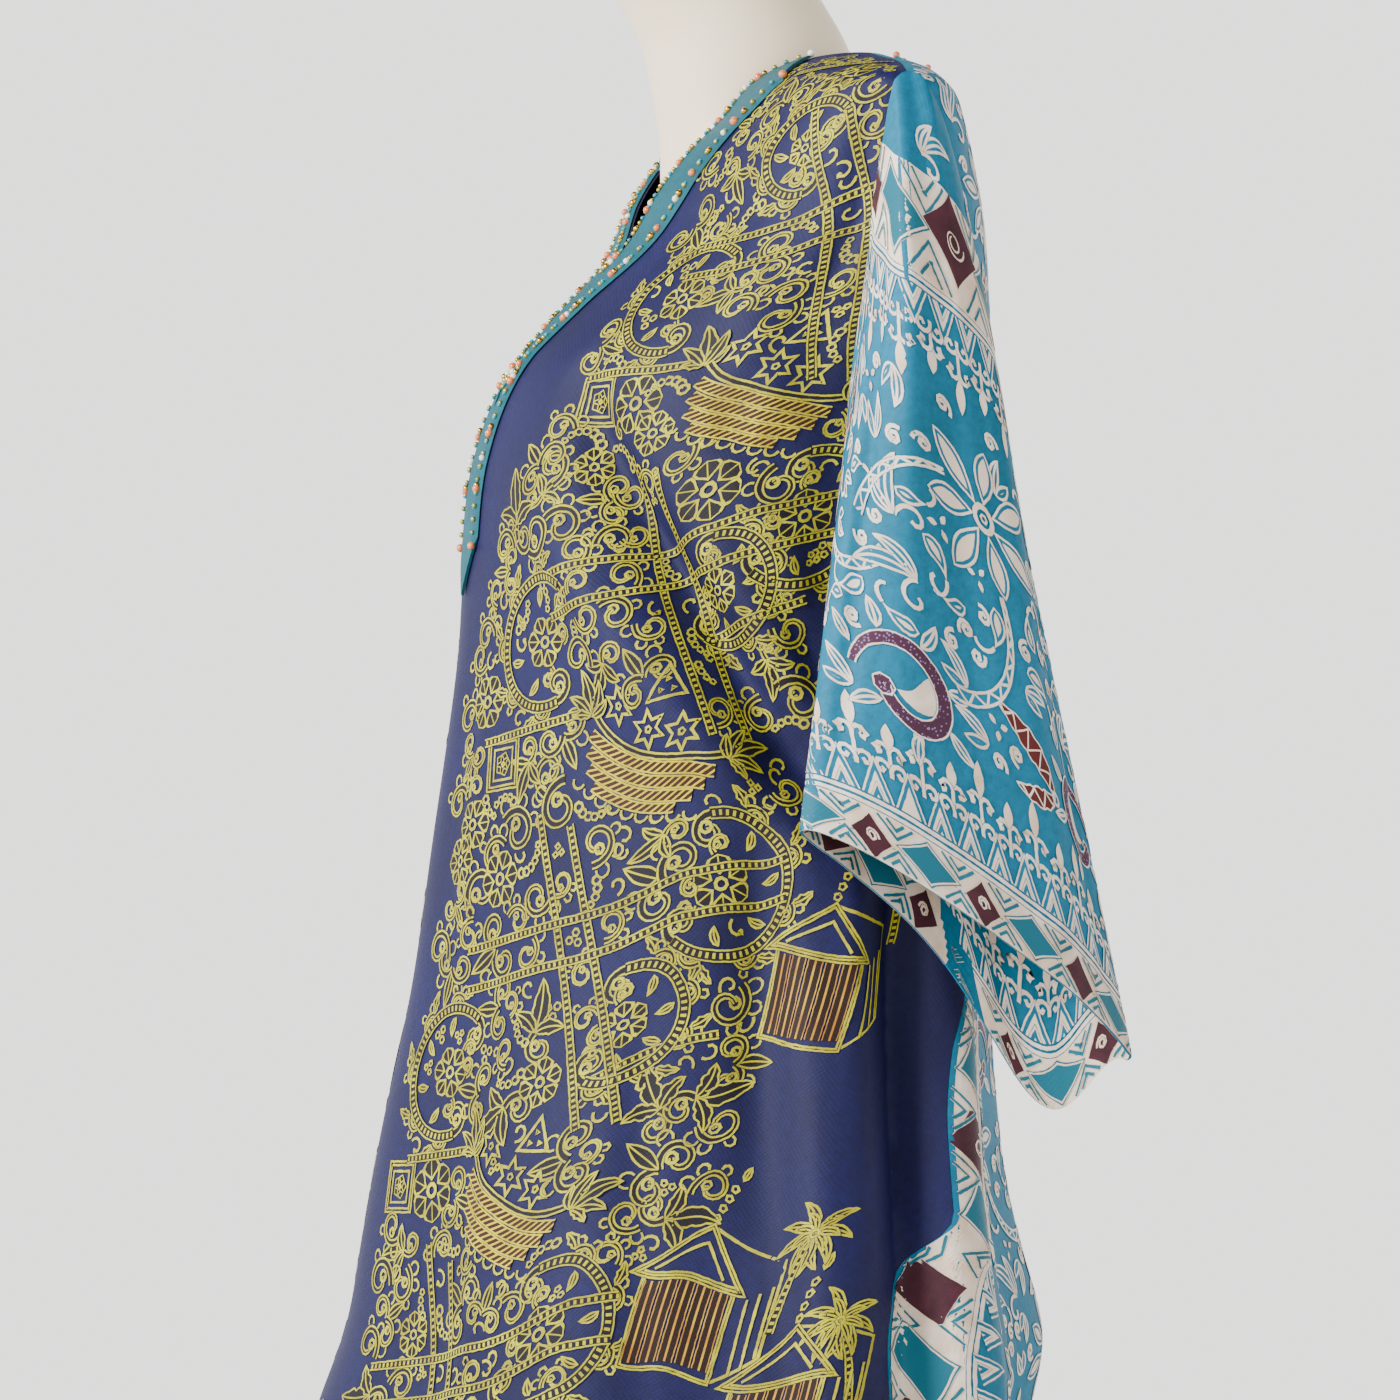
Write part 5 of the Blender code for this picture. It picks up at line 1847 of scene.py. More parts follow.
def free_flame(d: Drawing, at: Array, heading: float, hand: int, size: float) -> list[Array]:
    """A fan of scalloped leaves, with a scroll under it."""
    return [
        d.scroll(at, heading + 150 * hand, 5.4 * size, hand, 1.6 * size),
        d.leaf(at, heading, 19 * size, 3.8 * size, Inks.LEAF, bend=24 * hand, lobes=4),
        d.leaf(at, heading + 44, 13 * size, 3.0 * size, Inks.LEAF, bend=50, lobes=3),
        d.leaf(at, heading - 44, 13 * size, 3.0 * size, Inks.LEAF, bend=-50, lobes=3),
    ]


def free_rosette(d: Drawing, at: Array, heading: float, hand: int, size: float) -> list[Array]:
    """A flower of six petals."""
    d.rosette(at, 10.4 * size, 6, Inks.BLOOM, Inks.LINE, heading)
    return [circle(at, 9.6 * size), circle(at, 5.0)]


def free_beads(d: Drawing, at: Array, heading: float, hand: int, size: float) -> list[Array]:
    """A curved string of small rings."""
    line = curl(at, heading, 21 * size, 14, 9, hand)
    for k in range(1, len(line) - 1, 2):
        d.knob(line[k], 1.7 + 0.08 * k, Inks.LINE)
    return [line]


def free_tendril(d: Drawing, at: Array, heading: float, hand: int, size: float) -> list[Array]:
    """A single thin curl."""
    line = curl(at, heading, 15 * size, 6.5, 2.1, hand)
    d.stroke(line, 0.92, Inks.LINE, keep=0.7)
    return [line]


def free_ring(d: Drawing, at: Array, heading: float, hand: int, size: float) -> list[Array]:
    """Three rings in a triangle."""
    for k in range(3):
        d.knob(toward(at, heading + 120 * k, 2.9 * size), 1.9 * size, Inks.LINE)
    return [circle(at, 3.8 * size)]


@dataclass
class FrontPrint:
    """The navy front's figures, in millimetres: x from the centre front, y up from the underarm's height.

    A lime column of trellis, arcs, scrolls and flowers stands on each side of the centre, with a boat under
    three stars three times in it. Beside it stand roofed houses and palms on the plain ground.
    """

    side: int
    seed: int
    foot_y: float = -418.0  # where the column ends, over the hem's border
    boats: tuple[tuple[float, float], ...] = ((200.0, 113.0), (166.0, -77.0), (134.0, -297.0))
    left_edge: tuple[tuple[float, float], ...] = (
        (-420, 60), (-396, 38), (-299, 36), (-175, 30), (-77, 30), (10, 40), (60, 62), (113, 84), (180, 88),
        (237, 84), (330, 70),
    )
    right_edge: tuple[tuple[float, float], ...] = (
        (-420, 170), (-396, 200), (-345, 232), (-299, 244), (-250, 236), (-215, 250), (-175, 258), (-120, 246),
        (-77, 240), (-20, 248), (30, 266), (113, 300), (330, 320),
    )

    @staticmethod
    def boat(d: Drawing, x: float, y: float) -> None:
        """A crescent hull of hatched planks with a flame at each end."""
        wide, tilt = 86.0, -20.0
        turn = math.radians(tilt)

        def place(points: Array) -> Array:
            """Turns the boat's own places by its tilt."""
            c, s = math.cos(turn), math.sin(turn)
            return points @ np.array(((c, s), (-s, c))) + (x, y)

        t = np.linspace(-1, 1, 33)
        planks = ((0.90, 1.4, 3.4), (0.84, -5.4, 3.4), (0.74, -12.0, 3.3), (0.58, -18.0, 2.9))
        for row, (share, drop, half) in enumerate(planks):
            line = np.stack((t * wide / 2 * share, drop + (5.0 - row) * np.abs(t) ** 2.1), axis=1)
            d.stroke(place(line), half, Inks.PLANK, layer=0.3 + 0.03 * row)
        rim = np.stack((t * wide / 2, 6.6 + 11.0 * np.abs(t) ** 2.6), axis=1)
        d.stroke(place(rim), 2.1, Inks.PLAIN_BAND, layer=0.34)
        for k in range(9):
            share = -0.40 + 0.10 * k
            place_at = place(np.array([[share * wide, -21.4 + 26 * abs(share) ** 2]]))[0]
            d.stroke(circle(place_at, 3.6, 180 + tilt, 180), 0.85, Inks.LINE, layer=0.05)
        for end in (-1, 1):
            root = place(np.array([[end * wide / 2, 14.0]]))[0]
            for k, (spread, length) in enumerate(((0, 26), (36, 20), (-36, 19), (70, 14), (-70, 13))):
                heading = tilt + 90 - end * 22 + end * spread
                d.leaf(root, heading, length, 4.4 - 0.4 * k, Inks.LEAF, bend=-end * 40, lobes=3, layer=0.42)

    def sky(self, d: Drawing, x: float, y: float) -> None:
        """Three hollow stars, and a triangle with three dots."""
        for sx, sy in ((-17, 33), (2, 19), (21, 13)):
            self.star(d, x + sx, y + sy)
        corners = [toward((x + 12, y + 38), 90 + 120 * k, 11.5) for k in range(3)]
        d.stroke(course(*corners, corners[0]), 1.0, Inks.LINE, closed=True)
        for k in range(3):
            d.knob(toward((x + 12, y + 38), 90 + 120 * k, 3.6), 1.0, Inks.LINE)

    @staticmethod
    def star(d: Drawing, x: float, y: float) -> None:
        """A six-pointed outline with a ring in it."""
        radius = 9.4
        corners = [toward((x, y), 90 + 30 * k, radius if k % 2 == 0 else radius * 0.52) for k in range(12)]
        d.stroke(course(*corners, corners[0]), 0.95, Inks.LINE, closed=True)
        d.knob((x, y), 1.8, Inks.LINE)

    @staticmethod
    def bracket(d: Drawing, x: float, y: float, turn: float) -> None:
        """A nested square with a small flower in it."""
        size = 17.0
        for scale, half, ink in ((1.0, 1.7, Inks.PLAIN_BAND), (0.66, 0.8, Inks.LINE)):
            corners = [toward((x, y), turn + 45 + 90 * k, size * scale) for k in range(4)]
            d.stroke(course(*corners, corners[0]), half, ink, closed=True)
        d.rosette((x, y), 6.6, 5, Inks.PLAIN_BAND, Inks.LINE, turn)

    @staticmethod
    def arc_wreath(d: Drawing, x: float, y: float, radius: float, start: float, sweep: float) -> None:
        """A wide banded arc that ends in curls, with scrolls outside it and a flower inside."""
        arc = circle((x, y), radius, start, sweep)
        d.stroke(arc, 3.3, Inks.BAND, layer=0.22)
        hand = 1 if sweep > 0 else -1
        d.scroll(arc[-1], heading_of(arc), 8.0, hand, 2.6)
        d.scroll(arc[0], heading_of(arc[::-1]), 8.0, -hand, 2.6)
        for k in range(5):
            angle = start + sweep * (0.12 + 0.19 * k)
            root = toward((x, y), angle, radius + 4.4)
            stem = d.scroll(root, angle + 46 * hand, 6.2, hand, 1.9)
            d.foam(stem, hand, (0.12, 0.34), 2.5)
            d.leaf(root, angle - 28 * hand, 13, 3.0, Inks.LEAF, bend=-42 * hand, lobes=3)
        for k in range(4):
            angle = start + sweep * (0.16 + 0.22 * k)
            root = toward((x, y), angle, radius - 4.6)
            d.leaf(root, angle + 180 - 40 * hand, 11, 2.4, Inks.LEAF, bend=50 * hand)
        d.rosette((x, y), radius * 0.42, 6, Inks.BLOOM, Inks.LINE, start)
        for k in range(3):
            angle = start + sweep / 2 + 180 + 60 * (k - 1)
            root = toward((x, y), angle, radius * 0.44)
            d.scroll(root, angle + 30, 5.0, 1 if k % 2 else -1, 1.7)

    def trellis(self, d: Drawing, x: float, y: float) -> None:
        """Crossing pairs of banded bars under a boat."""
        for start, heading, length in (
            ((x - 62, y - 20), -68, 172), ((x - 40, y - 26), -68, 166),
            ((x - 108, y - 92), 14, 196), ((x - 104, y - 112), 14, 196),
            ((x - 116, y + 14), 12, 74), ((x + 34, y + 66), 20, 60),
        ):
            line = course(start, toward(start, heading, length))
            inside = self.in_column(line)
            if inside is not None:
                d.stroke(inside, 2.5, Inks.BAND, layer=0.2)

    def in_column(self, line: Array) -> Array | None:
        """The part of a straight line that stays in the column."""
        t = np.linspace(0, 1, 81)[:, None]
        fine = line[0] * (1 - t) + line[-1] * t
        kept = fine[self.inside(fine, 3.0)]
        return course(kept[0], kept[-1]) if len(kept) > 8 else None

    def inside(self, points: Array, room: float = 0.0) -> Array:
        """Whether places lie in the column, some way inside its edges."""
        left = np.interp(points[:, 1], *np.array(self.left_edge, float).T)
        right = np.interp(points[:, 1], *np.array(self.right_edge, float).T)
        return (points[:, 0] > left + room) & (points[:, 0] < right - room) & (points[:, 1] > self.foot_y)

    @staticmethod
    def house(d: Drawing, x: float, y: float) -> None:
        """A steep-roofed house of striped boards, with its far side drawn behind it."""
        half, tall, lean = 23.0, 50.0, 5.0
        bottom, top = y - tall / 2, y + tall / 2 - 8
        for k in range(5):
            left = x - half + 4.5 + 8.6 * k
            d.stroke(course((left, bottom + 2), (left + lean * 0.4, top - 1)), 4.0, Inks.BOARD, layer=0.05)
        foot, far_foot = (x - half, bottom), (x + half - 2, bottom - 3)
        frame = course(foot, far_foot, (x + half + 1, top), (x - half + 2, top + 3), foot)
        d.stroke(frame, 1.4, Inks.PLAIN_BAND, closed=True, layer=0.1)
        peak = (x + lean, top + tall * 0.52)
        roof = course((x - half - 4, top + 2), peak, (x + half + 5, top - 2), (x - half - 4, top + 2))
        d.stroke(roof, 1.5, Inks.PLAIN_BAND, closed=True, layer=0.12)
        rafters = course((x - half + 6, top + 5), (peak[0], peak[1] - 8), (x + half - 6, top + 3))
        d.stroke(rafters, 0.9, Inks.LINE)
        for k in range(3):
            side = x + half + 7 + 5.5 * k
            d.stroke(course((side, bottom + 2 + 3 * k), (side + 1, top - 4 + 3 * k)), 0.9, Inks.LINE)
        behind = course(peak, (x + half + 22, top + 14), (x + half + 20, bottom + 10), far_foot)
        d.stroke(behind, 1.0, Inks.LINE)
        for k in range(4):
            d.knob((peak[0] + 1.5 * k, peak[1] + 4 + 5.2 * k), 1.9, Inks.LINE)
        d.leaf((peak[0] + 7, peak[1] + 24), 72, 9, 2.2, Inks.LEAF)

    @staticmethod
    def palm(d: Drawing, x: float, y: float, lean: float) -> None:
        """A palm: a ringed trunk and two rings of drooping leaves."""
        trunk = curl((x, y), 90 + lean * 0.4, 46.0, 130, 90, 1 if lean > 0 else -1)
        d.stroke(trunk, np.linspace(2.6, 1.7, len(trunk)), Inks.BAND)
        crown = trunk[-1]
        for ring, (length, half) in enumerate(((21, 2.9), (14, 2.4))):
            for k in range(9 - 2 * ring):
                heading = 90 + (k - (8 - 2 * ring) / 2) * 42
                hand = -1 if heading < 90 else 1
                d.leaf(crown, heading, length, half, Inks.LEAF, bend=55 * hand, lobes=5, layer=0.04 * ring)
        d.knob(crown, 2.0, Inks.LINE, layer=0.12)

    @staticmethod
    def foot(d: Drawing) -> None:
        """The border over the hem: chevrons, a stippled band and plain lines."""
        for low, high, half in ((-462, -414, 4.0), (-472, -424, 1.2)):
            corners = [(x, high if k % 2 == 0 else low) for k, x in enumerate(range(0, 361, 90))]
            d.stroke(course(*corners), half, Inks.GRAVEL if half > 2 else Inks.LINE, layer=0.02)
        for y, half in ((-478, 1.1), (-483, 1.1)):
            d.stroke(course((0, y), (350, y)), half, Inks.LINE)
        for k in range(8):
            centre = (22 + 45 * k, -466 + 20 * (k % 2))
            d.leaf((centre[0], centre[1] - 8), 90, 17, 3.4, Inks.LEAF, lobes=4)

    def draw(self, d: Drawing) -> None:
        """Draws one side of the front."""
        d.flip = self.side
        for x, y in self.boats:
            self.boat(d, x, y)
            self.sky(d, x, y)
        for x, y in self.boats:
            self.arc_wreath(d, x - 74, y + 66, 33, 60, 235)
            self.arc_wreath(d, x + 42, y + 92, 29, 100, -215)
            self.arc_wreath(d, x + 46, y - 62, 35, 105, -230)
            self.bracket(d, x - 98, y + 4, 8)
            self.trellis(d, x, y)
        top = (self.boats[0][0] - 40, self.boats[0][1] + 150)
        self.arc_wreath(d, *top, 24, 40, 240)
        self.trellis(d, self.boats[0][0] + 20, self.boats[0][1] + 190)
        for x, y in ((268, -182), (247, -344), (302, -392)):
            self.house(d, x, y - 4)
        for x, y, lean in ((292, -352, -12.0), (340, -400, 10.0), (322, -165, 8.0)):
            self.palm(d, x, y, lean)
        self.foot(d)
        spots = strewn(self.seed, (22, 330), (-420, 330), 5.6, 2.4)
        spots = spots[self.inside(spots, 3.0)]
        big = ((3.0, free_horns), (3.6, free_scroll), (2.0, free_flame), (1.4, free_rosette))
        middle = ((3.0, free_scroll), (1.0, free_flame), (1.0, free_beads))
        small = ((2.2, free_tendril), (1.0, free_beads), (1.6, free_ring))
        placed = d.fill(big, spots, self.seed + 1, 0.22, 1.34)
        placed += d.fill(middle, spots, self.seed + 2, 0.26, 1.12) + d.fill(small, spots, self.seed + 3, 0.24)
        LOG.info("front figures set in the free ground: %d", placed)


Placer = Callable[[Array], Array]


@dataclass
class SeaPrint:
    """The turquoise cloth's figures: cream flowers, leaves and tendrils, and borders of diamonds and teeth."""

    seed: int
    tooth_pitch: float = 17.0  # from one tooth of a border to the next

    @staticmethod
    def flower(d: Drawing, x: float, y: float, radius: float, turn: float) -> None:
        """A flower of seven long petals round a ring."""
        petals = 7
        for k in range(petals):
            heading = turn + 360.0 * k / petals
            length = radius * (1.0 if k % 2 == 0 else 0.82)
            start = toward((x, y), heading, radius * 0.2)
            d.leaf(start, heading, length, radius * 0.20, Inks.PETAL, full_at=0.56)
        d.stroke(circle((x, y), radius * 0.17), 1.6, Inks.CREAM_FILL, closed=True, layer=0.1)
        d.knob((x, y), radius * 0.06, Inks.CREAM_FILL, layer=0.12)

    @staticmethod
    def teardrop(d: Drawing, x: float, y: float, heading: float, size: float, hand: int) -> None:
        """A curled drop with a filled heart."""
        d.leaf((x, y), heading, size, size * 0.24, Inks.PETAL, bend=60 * hand, full_at=0.66)
        d.stroke(curl((x, y), heading + 180, size * 0.7, size * 0.7, size * 0.14, -hand), 1.2, Inks.SLEEVE_LINE)

    @staticmethod
    def sprig(d: Drawing, x: float, y: float, heading: float, size: float, hand: int) -> None:
        """Two long curved leaves and a curl."""
        d.leaf((x, y), heading, 42 * size, 5.4 * size, Inks.SLEEVE_LEAF, bend=70 * hand)
        d.leaf((x, y), heading - 36 * hand, 30 * size, 4.6 * size, Inks.SLEEVE_LEAF, bend=62 * hand)
        line = curl((x, y), heading + 46 * hand, 34 * size, 16 * size, 3 * size, hand)
        d.stroke(line, 1.25, Inks.SLEEVE_LINE)

    @staticmethod
    def vine(d: Drawing, start: Sequence[float], heading: float, length: float, bend: float, hand: int) -> None:
        """A stem with a cream zigzag in it, that widens along its way."""
        line = curl(start, heading, length, bend, bend * 0.6, hand)
        d.stroke(line, np.linspace(1.8, 4.2, len(line)), Inks.VINE)

    @staticmethod
    def plum_scroll(d: Drawing, x: float, y: float, heading: float, size: float, hand: int) -> None:
        """A thick stippled scroll round a cream blade."""
        line = curl((x, y), heading, 124 * size, 31 * size, 15 * size, hand)
        t = np.linspace(0, 1, len(line))
        d.stroke(line, (2.6 + 2.6 * np.sin(np.pi * t * 0.8)) * size, Inks.PLUM, layer=0.1)
        d.stroke(circle(line[-1], 2.6 * size), 3.4 * size, Inks.PLUM, closed=True, layer=0.12)
        middle = line.mean(axis=0)
        d.leaf(toward(middle, heading + hand * 40, 17 * size), heading + hand * 150, 34 * size, 7.0 * size,
               Inks.CREAM_FILL, bend=130 * hand, full_at=0.4, layer=0.05)
        for k in range(7):
            at = int((len(line) - 2) * (0.06 + 0.15 * k))
            move = line[at + 1] - line[at]
            out = math.degrees(math.atan2(move[1], move[0])) - hand * 62
            root, length = toward(line[at], out, 5 * size), (20 - 3 * (k % 2)) * size
            d.leaf(root, out, length, 3.8 * size, Inks.SLEEVE_LEAF, bend=-34 * hand)

    @staticmethod
    def rust_leaves(d: Drawing, x: float, y: float, heading: float, size: float) -> None:
        """Two red-brown leaves with a zigzag down each."""
        d.leaf((x, y), heading, 52 * size, 7.4 * size, Inks.RUST, bend=44, lobes=6, layer=0.1)
        d.leaf((x, y), heading + 96, 34 * size, 5.6 * size, Inks.RUST, bend=-50, lobes=5, layer=0.1)
        d.knob((x, y), 3.2 * size, Inks.SLEEVE_LINE, layer=0.2)

    @staticmethod
    def candle(d: Drawing, place: Placer, at: float, tall: float) -> None:
        """A small stem with two pairs of curls and a bud, growing away from a border's edge."""
        wide = 12.5
        for hand in (1, -1):
            for root, size in ((0.0, 1.0), (tall * 0.38, 0.72)):
                length, first = wide * 1.7 * size, wide * 0.62 * size
                line = curl((at, root), 90 - hand * 16, length, first, wide * 0.13, hand)
                d.stroke(place(line), 1.25, Inks.SLEEVE_LINE)
        bud = np.stack((np.full(9, at), np.linspace(tall * 0.5, tall, 9)), axis=1)
        d.stroke(place(bud), 0.3 + 2.9 * np.sin(np.pi * np.linspace(0, 1, 9)) ** 0.9, Inks.CREAM_FILL)
        d.stroke(place(course((at, 0), (at, tall * 0.5))), 1.2, Inks.SLEEVE_LINE)

    @staticmethod
    def tooth(d: Drawing, place: Placer, at: float, low: float, high: float, half: float, layer: float) -> None:
        """A triangle from low to high."""
        line = np.stack((np.full(9, at), np.linspace(low, high, 9)), axis=1)
        d.stroke(place(line), 0.25 + half * np.linspace(1, 0, 9), Inks.TOOTH, layer=layer)

    @staticmethod
    def lozenge(
        d: Drawing, place: Placer, at: float, middle: float, half: float, wide: float, ink: Inks
    ) -> None:
        """A filled diamond with slightly hollow sides."""
        line = np.stack((np.full(17, at), np.linspace(middle - half, middle + half, 17)), axis=1)
        d.stroke(place(line), 0.2 + wide * (1 - np.abs(np.linspace(-1, 1, 17))) ** 1.2, ink, layer=0.2)

    def diamond(self, d: Drawing, place: Placer, at: float, middle: float, half: float, wide: float) -> None:
        """A maroon diamond with a cream spiral."""
        self.lozenge(d, place, at, middle, half, wide, Inks.MAROON)
        spiral = curl((at + half * 0.34, middle), 90, half * 2.2, half * 0.36, half * 0.13, 1)
        d.stroke(place(spiral), 0.75, Inks.MAROON_LINE, layer=0.32)

    def border(
        self,
        d: Drawing,
        place: Placer,
        start: float,
        end: float,
        ground: float,
        pitch: float,
        candles: bool = True,
    ) -> None:
        """A border along an edge. From the edge in: diamonds and triangles on cream, lines, teeth, tendrils.

        Args:
            d: the drawing.
            place: turns places on the border, along and in from the edge, to places on the plan.
            start: where it starts along the edge.
            end: where it ends.
            ground: width of the cream ground.
            pitch: from one diamond to the next.
            candles: whether tendrils grow from it.
        """
        steps = max(1, int(round(ground / 3.2)))
        half = ground / steps / 2
        for k in range(steps):
            line = course((start, half * (2 * k + 1)), (end, half * (2 * k + 1)))
            d.stroke(place(self.fine(line)), half + 0.05, Inks.GROUND, solid=True, keep=0.6)
        for k in range(int((end - start) / pitch) + 1):
            at = start + pitch * (k + 0.5)
            self.diamond(d, place, at, ground * 0.42, min(ground * 0.46, 24.0), min(ground * 0.44, 21.0))
            if at + pitch * 0.8 <= end:
                self.lozenge(d, place, at + pitch / 2, ground / 2, ground * 0.46, pitch * 0.30, Inks.SEA_FIGURE)
            for share in (0.22, 0.78):
                for low, tip in ((1.2, 0.38), (ground - 1.2, 0.62)):
                    for scale in (1.0, 0.5):
                        wide = pitch * 0.15 * scale
                        peak = low + (ground * tip - low) * scale
                        corner = course((at + pitch * share - wide, low), (at + pitch * share, peak),
                                        (at + pitch * share + wide, low))
                        d.stroke(place(corner), 1.0, Inks.SEA_LINE, layer=0.2)
        for offset in (1.6, 5.0):
            line = course((start, ground + offset), (end, ground + offset))
            d.stroke(place(self.fine(line)), 1.25, Inks.SLEEVE_LINE)
        count = int((end - start) / self.tooth_pitch) + 1
        for k in range(count):
            at = start + self.tooth_pitch * (k + 0.5)
            for high, half, layer in ((27.0, 8.2, 0.02), (15.0, 3.6, 0.12)):
                self.tooth(d, place, at, ground + 7.0, ground + high, half, layer)
        if candles:
            def shifted(points: Array) -> Array:
                """Places on the border, counted from the tendrils' roots."""
                return place(points + (0.0, ground + 20.0))

            for k in range(count):
                self.candle(d, shifted, start + self.tooth_pitch * (k + 1), 26.0 if k % 2 else 36.0)

    @staticmethod
    def fine(line: Array) -> Array:
        """A straight line cut into pieces of 4 mm."""
        count = max(2, int(np.linalg.norm(line[1] - line[0]) / 4))
        t = np.linspace(0, 1, count)[:, None]
        return line[0] * (1 - t) + line[1] * t

    def scatter(self, d: Drawing, spots: Array) -> None:
        """Sets small cream figures in the free ground."""

        def drop(e: Drawing, at: Array, heading: float, hand: int, size: float) -> list[Array]:
            """A teardrop."""
            self.teardrop(e, *at, heading, 19 * size, hand)
            return [curl(at, heading, 19 * size, 18 * size, 18 * size, hand), circle(at, 3.0)]

        def whirl(e: Drawing, at: Array, heading: float, hand: int, size: float) -> list[Array]:
            """A small spiral."""
            line = curl(at, heading, 26 * size, 6.4, 1.5, hand)
            e.stroke(line, 1.25, Inks.SLEEVE_LINE)
            return [line]

        def leaves(e: Drawing, at: Array, heading: float, hand: int, size: float) -> list[Array]:
            """A pair of leaves."""
            return [
                e.leaf(at, heading, 20 * size, 3.6, Inks.SLEEVE_LEAF, bend=46 * hand),
                e.leaf(at, heading + 70 * hand, 15 * size, 3.2, Inks.PETAL, bend=-30 * hand),
            ]

        def dots(e: Drawing, at: Array, heading: float, hand: int, size: float) -> list[Array]:
            """Three small filled drops."""
            for k in range(3):
                e.leaf(toward(at, heading + 120 * k, 1.6), heading + 120 * k, 6.0 * size, 1.7, Inks.CREAM_FILL)
            return [circle(at, 6.5 * size)]

        d.fill(((2.0, drop), (2.2, leaves), (1.2, whirl)), spots, self.seed)
        d.fill(((2.0, whirl), (2.0, dots)), spots, self.seed + 1)

    def sleeve(self, d: Drawing) -> None:
        """Draws a sleeve: x from the outer layer's middle to the rear, y up from the hem."""
        self.border(d, lambda p: p, -216, 216, 24.0, 62.0)
        top = 362.0
        self.border(d, lambda p: np.stack((p[:, 0], top - p[:, 1]), axis=1), -276, 276, 56.0, 84.0)
        for x, y in ((22, 205), (-120, 150), (150, 170), (-196, 190), (238, 170)):
            self.flower(d, x, y, 34.0 if x == 22 else 27.0, turn=10 + x % 50)
        for x, y, heading, size, hand in (
            (-58, 96, 74, 0.92, -1), (112, 98, 100, 0.8, 1), (-168, 94, 70, 0.8, 1),
        ):
            self.plum_scroll(d, x, y, heading, size, hand)
        for x, y, heading in ((58, 92, 124), (-104, 196, 60), (196, 108, 100)):
            self.rust_leaves(d, x, y, heading, 0.9)
        for x, y, heading in ((0, 372, 60), (-44, 378, 120), (48, 374, 30), (96, 366, 140), (-96, 370, 20)):
            self.sprig(d, x, y, heading, 0.7, 1 if x < 0 else -1)
        for start, heading, length, bend, hand in (
            ((30, 172), -70, 84, 60, -1), ((-2, 214), 190, 70, 80, 1), ((-96, 150), -30, 66, 60, 1),
            ((128, 160), 215, 62, 50, 1), ((172, 178), 20, 66, 56, -1), ((-216, 170), -60, 60, 60, 1),
        ):
            self.vine(d, start, heading, length, bend, hand)
        for x, y, heading, size, hand in (
            (-22, 150, 150, 0.86, 1), (-30, 178, 120, 0.8, -1), (66, 176, 20, 0.8, 1), (92, 140, 60, 0.8, -1),
            (-140, 190, 160, 0.8, 1), (-76, 206, 80, 0.7, 1), (206, 150, 60, 0.8, 1),
        ):
            self.sprig(d, x, y, heading, size, hand)
        self.scatter(d, strewn(self.seed, (-250, 250), (70, 290), 8.0, 3.4))

    def back(self, d: Drawing) -> None:
        """Draws the back: x from the centre back to the wearer's right, y up from the underarm's height."""
        plan = d.plan
        columns = plan.margin.shape[1]
        xs = plan.low[0] + plan.step * np.arange(columns)
        ys = plan.low[1] + plan.step * np.arange(plan.margin.shape[0])
        for side in (-1, 1):
            order = slice(None) if side < 0 else slice(None, None, -1)
            half = xs[order][: columns // 2]
            edges = np.array([np.interp(0.0, row[order][: columns // 2], half) for row in plan.margin])
            use = (ys > -0.470) & (ys < -0.010)
            heights, seam = ys[use] * 1000, edges[use] * 1000

            def place(points: Array, side: int = side, heights: Array = heights, seam: Array = seam) -> Array:
                """From along the side seam and in from it, to the plan."""
                along = points[:, 0]
                return np.stack((np.interp(along, heights, seam) - side * points[:, 1], along), axis=1)

            self.border(d, place, -456, -36, 44.0, 78.0, candles=False)
        self.border(d, lambda p: np.stack((p[:, 0], p[:, 1] - 474), axis=1), -297, 297, 26.0, 66.0)
        for row, y in enumerate(range(-380, 250, 118)):
            for column in range(-2, 3):
                x = column * 104 + (52 if row % 2 else 0)
                self.flower(d, x, y, 27.0, turn=row * 17 + column * 9)
                self.vine(d, toward((x, y), 300, 26), 300 - 20, 66, 48, 1)
                self.sprig(d, x - 34, y + 34, 140 + 30 * column, 0.85, 1 if column % 2 else -1)
                if (row + column) % 2:
                    self.plum_scroll(d, x + 40, y + 36, 90, 0.74, 1)
                else:
                    self.rust_leaves(d, x + 44, y + 46, 70, 0.8)
        self.scatter(d, strewn(self.seed, (-300, 300), (-430, 300), 9.0, 3.6))


# ---- Putting it together -------------------------------------------------------------------------
def corners() -> list[list[float]]:
    """The shown object's lowest and highest corners, as plain lists."""
    return [list(corner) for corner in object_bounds()]


def report(made: bpy.types.Object, node: str | None) -> bpy.types.Object:
    """Sets a finished piece on the frame and reports it."""
    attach(made, "root")
    if node:
        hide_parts(node)
    LOG.info("%s: %d points", made.name, len(made.data.vertices))
    return made


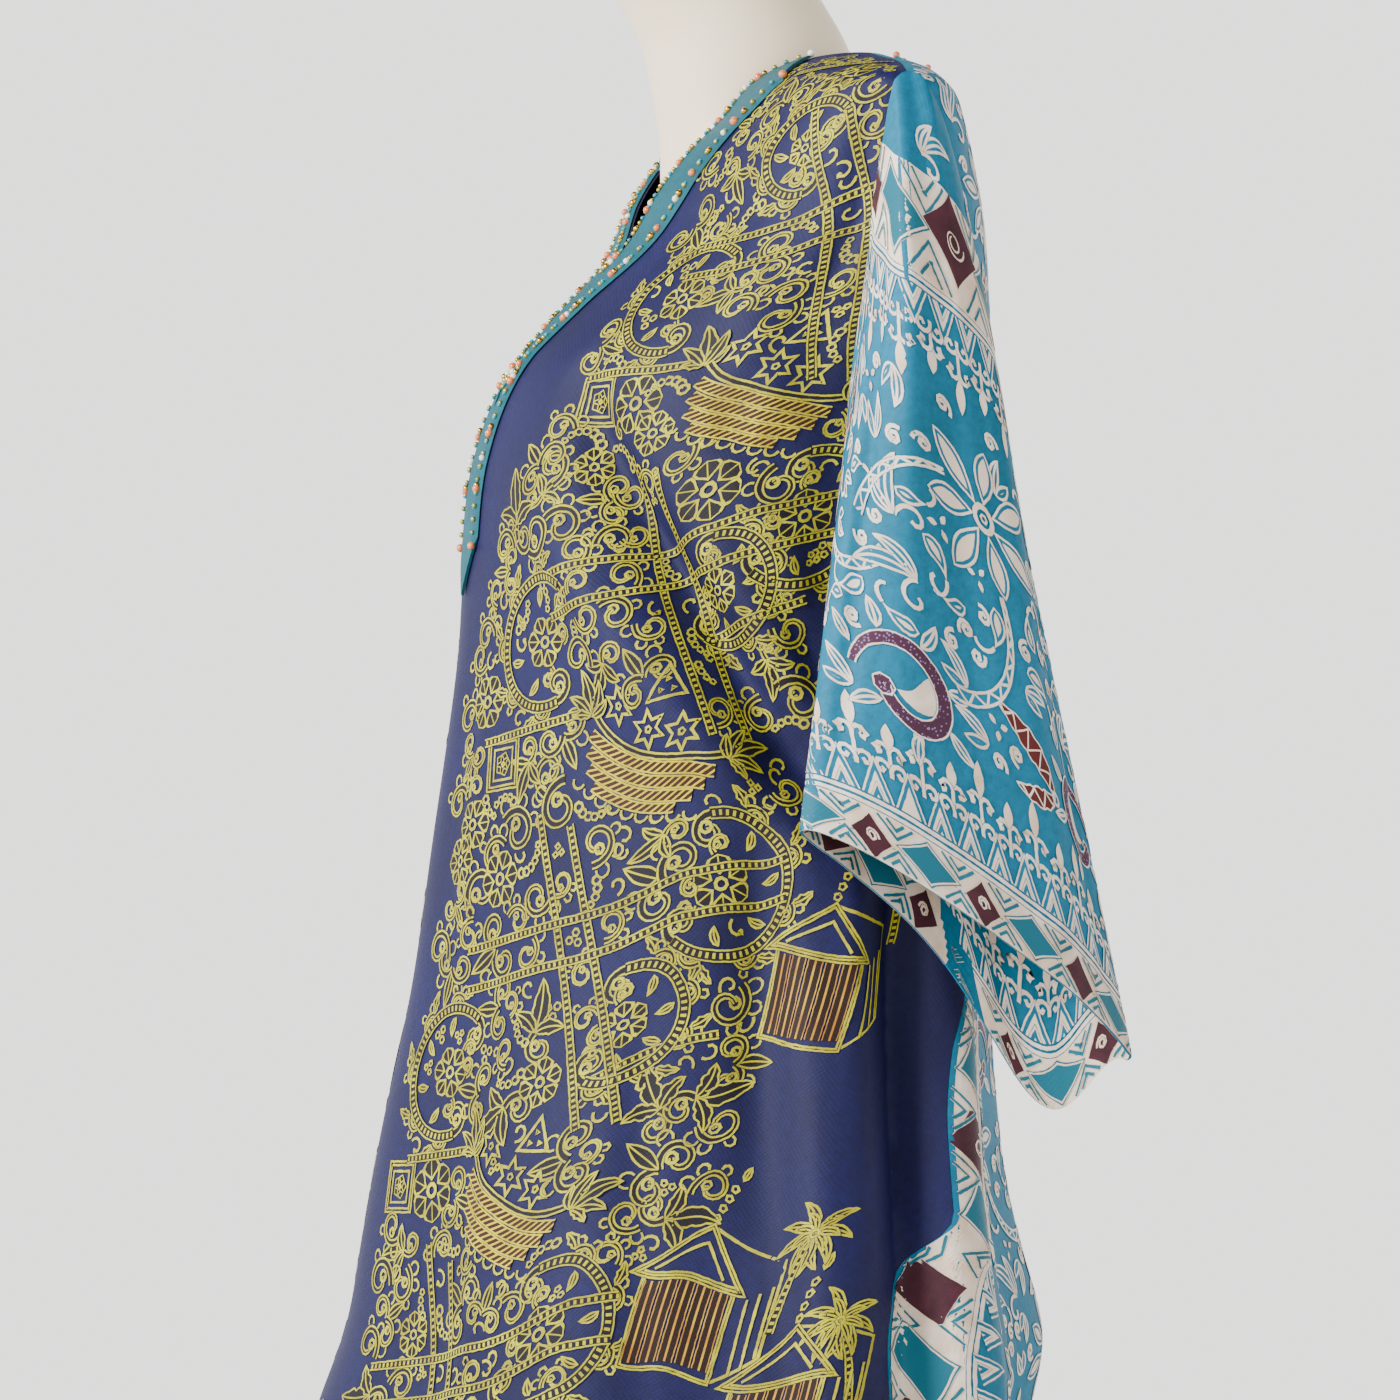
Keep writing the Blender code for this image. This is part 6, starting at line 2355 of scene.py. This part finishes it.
def main() -> None:
    logging.basicConfig(level=logging.INFO, format="%(name)s: %(message)s")
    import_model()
    Studio().build()
    body = ShirtBody()
    trim = PathTrim()

    front, back = Panel(body, True, NAVY), Panel(body, False, TURQUOISE)
    front_cloth = report(front.cloth(), "front_panel")
    back_cloth = report(back.cloth(), "back_panel")
    front_plan, back_plan = front.plan(), back.plan()
    front_pieces, back_pieces = [], []
    for side, word, seed in ((1, "left", 11), (-1, "right", 29)):
        drawing = Drawing(f"front_print_{word}", front_plan)
        FrontPrint(side, seed).draw(drawing)
        front_pieces.append(report(drawing.make(), None))
    drawing = Drawing("back_print", back_plan)
    SeaPrint(41).back(drawing)
    back_pieces.append(report(drawing.make(), None))

    for side in (1, -1):
        sleeve = Sleeve(SleeveTube(body, side))
        name = f"sleeve_{sleeve.word}"
        cloth = report(sleeve.cloth(), name)
        drawing = Drawing(f"{name}_print", sleeve.plan())
        SeaPrint(53 + side).sleeve(drawing)
        inside = drawing.again(f"{name}_print_inside", -CLOTH - PRINT_LIFT)
        pieces = [report(printed.make(), None) for printed in (drawing, inside)]
        stitches = trim.stitch(f"{name}_hem_stitches", sleeve.hem_path(0.006, 0.0002), THREAD)
        pieces.append(report(stitches, None))

    bands = Neckband(body)
    band_pieces = bands.build()
    for piece, node in zip(band_pieces, ("neckband_left", "neckband_right", "neckband_back", "placket")):
        report(piece, node)
    edge_lines = bands.edge_paths(0.11, bands.rest + bands.thick + 0.0008)
    for kind in BeadKind:
        name, finish, size, spacing, skipped = kind.value
        lines = [line[skipped:] for line in edge_lines]
        report(trim.run(name, lines, spacing, (size * 1.05, size, size), finish, 0.12, 7), None)
    front_hem, back_hem = (panel.hem_path(0.010, 0.0002) for panel in (front, back))
    front_pieces.append(report(trim.stitch("front_hem_stitches", front_hem, NAVY_THREAD), None))
    back_pieces.append(report(trim.stitch("back_hem_stitches", back_hem, THREAD), None))

    report(DressForm().build(), "form_torso")
    for piece, node, slot in stand_pieces():
        report(piece, node)


if __name__ == "__main__":
    main()
